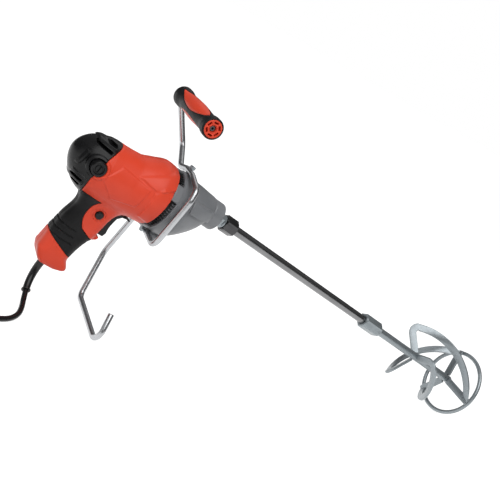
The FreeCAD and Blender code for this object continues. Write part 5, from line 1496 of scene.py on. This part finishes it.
class DRILL_OT_screws(DrillOperator, bpy.types.Operator):
    """Clamshell screws in their sinks"""
    bl_idname = "drill.screws"
    bl_label = "Housing screws"

    def execute(self, context):
        single = field_mesh("single_screw", screw_form, (-20, -4, -4), (4, 4, 4), 0.34,
                            facing((0, 0, 0), (0, 1, 0)))
        single.transform(Matrix.Translation(-STAND.to_translation()))
        screw = bpy.data.objects.new("single_screw", single)
        context.scene.collection.objects.link(screw)
        places = bpy.data.meshes.new("screw_places")
        places.from_pydata([STAND @ Vector((x, 10, height)) for x, height in SCREWS], [], [])
        finish = oiled_steel()
        mesh = plain_mesh("clamshell_screws", screw_tree(), {"Screw": screw, "Finish": finish}, places)
        bpy.data.objects.remove(screw)
        add_piece("clamshell_screws", mesh, finish, "tool", "housing_screws")
        return {"FINISHED"}


ROD_TOP = 28.0
ROD_CORNERS = ((-117, -38, 94), (-117, 77, 94), (-72, 69, 42), (-72, 33, ROD_TOP - 5.5), (-72, 14, ROD_TOP),
               (-72, -8, ROD_TOP), (-72, -43, ROD_TOP - 7), (-72, -49, ROD_TOP - 22), (-72, -49, -68),
               (-65, 58, -68), (-65, 61, -140), (-65, 32, -204), (-65, -85, -204), (-65, -66, -166))
ROD_BENDS = (9.75, 13, 13, 13, 26, 13, 13, 13, 13, 32.5, 13, 13)
ROD_TIP = ((1.2, 0), (0.9, 0.1), (0.5, 0.3), (0.15, 0.65), (0, 1.1))  # before the end, and under the radius
BOLT_FLATS = 7.8
TOP_BOLT = ((-12.8, 2.5), (0.3, 2.5), (0.3, 3.8), (0.7, 3.9), (0.7, 4.1, BOLT_FLATS), (0.9, 4.5, BOLT_FLATS),
            (3.7, 4.5, BOLT_FLATS), (4.15, 4.1, BOLT_FLATS), (4.25, 3.6))
LOWER_BOLT = ((TOP_BOLT[0][0] - 8.2, TOP_BOLT[0][1]), *TOP_BOLT[1:])


class DRILL_OT_carrying_rod(DrillOperator, bpy.types.Operator):
    """Bent carrying rod with its two bolts"""
    bl_idname = "drill.carrying_rod"
    bl_label = "Carrying rod"

    def execute(self, context):
        line = bent_bar(ROD_CORNERS, ROD_BENDS, 1.6)
        radius = in_mm("rod_diameter") / 2
        tip = Vector(line[-1])
        way = (tip - Vector(line[-2])).normalized()
        radii = [radius] * (len(line) - 1) + [radius - less for _, less in ROD_TIP]
        line = line[:-1] + [tuple(tip - way * back) for back, _ in ROD_TIP]
        mesh = stood_mesh("bent_rod", *skinned(tube_sections(line, radii, 32)))
        add_piece("bent_rod", mesh, polished_rod(), "tool", "carrying_rod")
        for name, node, rings, place in (
                ("top_hex_bolt", "top_bolt", TOP_BOLT, facing((-72, 4, 32.0), (0, 0, 1))),
                ("lower_hex_bolt", "lower_bolt", LOWER_BOLT, facing((-72.5, 0, -68), (-1, 0, 0)))):
            turned_piece(name, rings, bright_zinc(), "tool", node, "dark_steel", count=48, turn=place)
        return {"FINISHED"}


HAND_BOLT = ((-18, 3.45), (-0.6, 3.45), (0, 3.0), (0, 1.7, 3.0), (-3, 1.7, 3.0), (-3, 0.2))


class DRILL_OT_hand_grip(DrillOperator, bpy.types.Operator):
    """Hand grip: red core, rubber sleeve and end bolt"""
    bl_idname = "drill.hand_grip"
    bl_label = "Hand grip"

    def execute(self, context):
        low, high = (-132.4, -62, 78.6), (-101.6, 68, 109.4)
        mesh = field_mesh("grip_sleeve", hand_sleeve, low, high, 0.62)
        add_piece("grip_sleeve", mesh, black_rubber(), "tool", "hand_grip_sleeve")
        mesh = field_mesh("grip_core", hand_core, low, high, 0.55)
        add_piece("grip_core", mesh, orange_plastic(), "tool", "hand_grip_core")
        turned_piece("grip_bolt", HAND_BOLT, black_nut(), "tool", "hand_grip_bolt", "dark_steel", count=48,
                     turn=facing((HAND_PLACE[0], -57.2, HAND_PLACE[1]), (0, -1, 0)))
        return {"FINISHED"}


def node_span(name):
    """Lowest and highest place of a CAD node along the spindle line, in millimetres."""
    back = STAND.inverted()
    places = [(back @ vertex.co).x for vertex in frame["nodes"][name].data.vertices]
    return min(places), max(places)


JOURNAL, SEAT, NECK, END = 4.0, 9.5, 8.42, 9.5  # radii of the spindle, from its rear
FLATS_FROM, FLATS_TO, FLATS_HALF = 3.0, 10.0, 8
NUT_REAR, NUT_FRONT = 13.1, 33.9
COUPLER_REAR, COUPLER_FRONT = 331, 372
UPPER_BAR, LOWER_BAR = (-11.5, 351), (352, 590.9)


class DRILL_OT_shafts(DrillOperator, bpy.types.Operator):
    """Spindle, lock nut, upper shaft, coupler and paddle shaft"""
    bl_idname = "drill.shafts"
    bl_label = "Spindle and shafts"

    def execute(self, context):
        flats = in_mm("hex_flats")
        half, corner = flats / 2, flats / math.sqrt(3)
        bar = in_mm("shaft_diameter") / 2
        bore = bar + 0.02
        self.make_spindle(bore)
        nut = ((NUT_REAR, bore), (NUT_REAR, half - 0.6, flats), (NUT_REAR, half - 0.2, flats),
               (14.3, corner, flats), (32.7, corner, flats), (NUT_FRONT, half - 0.2, flats),
               (NUT_FRONT, half - 0.8, flats), (NUT_FRONT, 8.2), (33.2, bore))
        coupler = ((331.8, bore), (COUPLER_REAR, 7.6), (COUPLER_REAR, half - 0.9, flats),
                   (332.6, corner, flats), (370.4, corner, flats), (COUPLER_FRONT, half - 0.9, flats),
                   (COUPLER_FRONT, 7.6), (371.2, bore))
        upper = ((UPPER_BAR[0], bar - 0.5), (-11, bar), (350.6, bar), (UPPER_BAR[1], bar - 0.4))
        lower = ((LOWER_BAR[0], bar - 0.4), (352.4, bar), (590.2, bar), (LOWER_BAR[1], bar - 0.7))
        for name, node, rings, finish, hollow in (
                ("hex_lock_nut", "lock_nut", nut, black_nut(), True),
                ("upper_bar", "upper_shaft", upper, dark_zinc(), False),
                ("hex_coupler", "shaft_coupler", coupler, bright_zinc(), True),
                ("lower_bar", "paddle_shaft", lower, bright_zinc(), False)):
            turned_piece(name, rings, finish, "paddle", node, "zinc_steel", closed_loop=hollow)
        return {"FINISHED"}

    def make_spindle(self, bore):
        """Spindle with its rear journal, gear seat, neck, socket and the flats for a wrench."""
        rear = node_span("spindle")[0] + 0.02
        seat, neck = node_span("output_gear")[0], node_span("spindle_bearing")[0] - 0.3
        points, faces = turned((
            (rear, 3.6), (rear + 0.4, JOURNAL), (seat, JOURNAL), (seat, SEAT), (neck, SEAT), (neck, NECK),
            (0.8, NECK), (1, 8.6), (1, 8.9), (1.6, END), (FLATS_FROM - 0.001, END), (FLATS_FROM, END),
            (FLATS_TO, END), (FLATS_TO + 0.001, END), (12.4, END), (13, 8.9), (13, bore), (-12, bore),
            (-12, 0.4)))
        along, radius = points[:, 0], np.hypot(points[:, 1], points[:, 2])
        flat = (along > FLATS_FROM - 0.0005) & (along < FLATS_TO + 0.0005) & (radius > 9)
        points[flat, 1] = np.clip(points[flat, 1], -FLATS_HALF, FLATS_HALF)
        mesh = stood_mesh("flatted_spindle", points, faces)
        add_piece("flatted_spindle", mesh, bright_zinc(), "paddle", "spindle")


HOOP_PLACE, HOOP_RADIUS, HOOP_WIRE = 600, 56.5, 3.5
BLADE_WIDE, BLADE_THICK, BLADE_EDGE = 12.5, 3.5, 0.7
BLADE_START = math.radians(40)
BLADE_SWEEP = math.radians(143)
BLADE_OUT = 58.25
BLADE_LINE = BLADE_OUT - BLADE_WIDE / 2
BLADE_ROOT = 6.95
BLADE_HUB, BLADE_SHOULDER, SPOKE_HUB, BLADE_FRONT = 482.0, 470.0, 582.0, 593.6
BLADE_SLOPE = (BLADE_FRONT - BLADE_SHOULDER) / (BLADE_SWEEP * BLADE_OUT)
CORNER_REACH = 12.5
LEG_SECTIONS, CORNER_SECTIONS, WOUND_SECTIONS, SPOKE_SECTIONS = 12, 14, 70, 10


def rounded(wide, thick, radius, steps):
    """Rounded rectangle as offsets along its width and thickness."""
    places = []
    for quarter, (sx, sy) in enumerate(((1, 1), (-1, 1), (-1, -1), (1, -1))):
        for number in range(steps + 1):
            angle = math.pi / 2 * (quarter + number / steps)
            places.append((sx * (wide / 2 - radius) + radius * math.cos(angle),
                           sy * (thick / 2 - radius) + radius * math.sin(angle)))
    return places


BLADE_PROFILE = rounded(BLADE_WIDE, BLADE_THICK, BLADE_EDGE, 3)


def bar_section(centre, width_way, thick_way):
    return [tuple(centre + width_way * u + thick_way * v) for u, v in BLADE_PROFILE]


def outward(angle):
    return Vector((0, math.cos(angle), math.sin(angle)))


def wound_way(angle):
    """The way that the wound part of a blade runs at an angle."""
    return Vector((BLADE_SLOPE, -math.sin(angle), math.cos(angle))).normalized()


def blade(start_angle):
    """One bar: out from the shaft, round a corner, wound to the hoop, and back in as a spoke."""
    first, first_way = outward(start_angle), wound_way(start_angle)
    root = Vector((BLADE_HUB, 0, 0)) + first * BLADE_ROOT
    corner = Vector((BLADE_SHOULDER, 0, 0)) + first * BLADE_LINE
    leg_way = (corner - root).normalized()
    normal = leg_way.cross(first_way).normalized()
    turn = leg_way.angle(first_way)
    bend = CORNER_REACH / math.tan(turn / 2)
    inward = (first_way - leg_way * first_way.dot(leg_way)).normalized()
    leg_end = corner - leg_way * CORNER_REACH
    sections = []
    for share in np.linspace(0, 0.97, LEG_SECTIONS):
        sections.append(bar_section(root + (leg_end - root) * float(share), normal.cross(leg_way), normal))
    for step in range(CORNER_SECTIONS):
        angle = turn * step / CORNER_SECTIONS
        way = leg_way * math.cos(angle) + inward * math.sin(angle)
        centre = leg_end + (leg_way * math.sin(angle) + inward * (1 - math.cos(angle))) * bend
        sections.append(bar_section(centre, normal.cross(way), normal))
    first_share = CORNER_REACH * 1.15 / (BLADE_SWEEP * BLADE_OUT * math.hypot(1, BLADE_SLOPE))
    for step in range(WOUND_SECTIONS + 1):
        share = first_share + (1 - first_share) * step / WOUND_SECTIONS
        angle = start_angle + BLADE_SWEEP * share
        way = wound_way(angle)
        normal = outward(angle).cross(way).normalized()
        place = BLADE_SHOULDER + (BLADE_FRONT - BLADE_SHOULDER) * share
        centre = Vector((place, 0, 0)) + outward(angle) * BLADE_LINE
        sections.append(bar_section(centre, normal.cross(way), normal))
    last = outward(start_angle + BLADE_SWEEP)
    across = Vector((1, 0, 0)).cross(last)
    hub = Vector((SPOKE_HUB, 0, 0)) + last * BLADE_ROOT
    rim = Vector((BLADE_FRONT, 0, 0)) + last * BLADE_OUT
    normal = (rim - hub).normalized().cross(across)
    spoke = [bar_section(hub + (rim - hub) * float(share), across, normal)
             for share in np.linspace(0, 1, SPOKE_SECTIONS)]
    return outwards(*joined([skinned(sections), skinned(spoke)]))


def outwards(points, faces):
    """The same faces with their normals pointing out."""
    work = bmesh.new()
    corners = [work.verts.new(point) for point in points]
    for face in faces:
        work.faces.new([corners[index] for index in face])
    bmesh.ops.recalc_face_normals(work, faces=work.faces)
    work.verts.index_update()
    made = [[vertex.index for vertex in face.verts] for face in work.faces]
    work.free()
    return points, made


class DRILL_OT_paddle(DrillOperator, bpy.types.Operator):
    """Three wound blades and the hoop"""
    bl_idname = "drill.paddle"
    bl_label = "Paddle head"

    def execute(self, context):
        for number in range(3):
            name = f"wound_blade_{number + 1}"
            mesh = stood_mesh(name, *blade(BLADE_START + TAU * number / 3))
            add_piece(name, mesh, bright_zinc(), "paddle", f"paddle_blade_{number + 1}")
        rings = [(HOOP_PLACE + HOOP_WIRE * math.cos(angle), HOOP_RADIUS + HOOP_WIRE * math.sin(angle))
                 for angle in np.linspace(0, TAU, 24, False)]
        points, faces = turned(rings, 144, closed_loop=True)
        mesh = stood_mesh("end_hoop", points, [face[::-1] for face in faces])
        add_piece("end_hoop", mesh, bright_zinc(), "paddle", "paddle_hoop")
        return {"FINISHED"}


INSIDE = {
    "core_steel": laminated_steel, "dark_steel": oiled_steel, "copper": turned_copper, "bronze": bush_bronze,
    "carbon": brush_carbon, "black_plastic": black_plastic, "black_rubber": black_rubber,
    "cast_grey": cast_paint,
}


class DRILL_OT_inside(DrillOperator, bpy.types.Operator):
    """Finishes of the CAD nodes that stay: motor, gears, bearings and switch"""
    bl_idname = "drill.inside"
    bl_label = "Inner pieces"

    def execute(self, context):
        for part in frame["record"]["subparts"]:
            item = frame["nodes"][part["node"]]
            if item.hide_render:
                continue
            finish = INSIDE[part["material_slot"]]()
            item.data.materials.clear()
            item.data.materials.append(finish)
        return {"FINISHED"}


PIECE_OPERATORS = (
    DRILL_OT_stage, DRILL_OT_mains_lead, DRILL_OT_bend_relief, DRILL_OT_housing, DRILL_OT_rear_cap,
    DRILL_OT_grip_rubber, DRILL_OT_gear_casting, DRILL_OT_controls, DRILL_OT_screws, DRILL_OT_carrying_rod,
    DRILL_OT_hand_grip, DRILL_OT_shafts, DRILL_OT_paddle, DRILL_OT_inside,
)


class DRILL_PT_panel(bpy.types.Panel):
    """Sizes, colours and pieces of the mixing drill"""
    bl_idname = "DRILL_PT_panel"
    bl_label = "Mixing drill"
    bl_space_type = "VIEW_3D"
    bl_region_type = "UI"
    bl_category = "Mixing drill"

    def draw(self, context):
        for group in (context.scene.drill_sizes, context.scene.drill_colours):
            column = self.layout.column()
            for name in group.bl_rna.properties.keys():
                if name not in {"rna_type", "name"}:
                    column.prop(group, name)
        for operator in PIECE_OPERATORS:
            self.layout.operator(operator.bl_idname)


CLASSES = (DrillSizes, DrillColours, *PIECE_OPERATORS, DRILL_PT_panel)


def register():
    for item in CLASSES:
        bpy.utils.register_class(item)
    bpy.types.Scene.drill_sizes = PointerProperty(type=DrillSizes)
    bpy.types.Scene.drill_colours = PointerProperty(type=DrillColours)


def unregister():
    del bpy.types.Scene.drill_colours
    del bpy.types.Scene.drill_sizes
    for item in reversed(CLASSES):
        bpy.utils.unregister_class(item)


def main():
    register()
    bpy.ops.drill.stage()
    bpy.ops.drill.mains_lead()
    bpy.ops.drill.bend_relief()
    bpy.ops.drill.housing()
    bpy.ops.drill.rear_cap()
    bpy.ops.drill.grip_rubber()
    bpy.ops.drill.gear_casting()
    bpy.ops.drill.controls()
    bpy.ops.drill.screws()
    bpy.ops.drill.carrying_rod()
    bpy.ops.drill.hand_grip()
    bpy.ops.drill.shafts()
    bpy.ops.drill.paddle()
    bpy.ops.drill.inside()


if __name__ == "__main__":
    main()
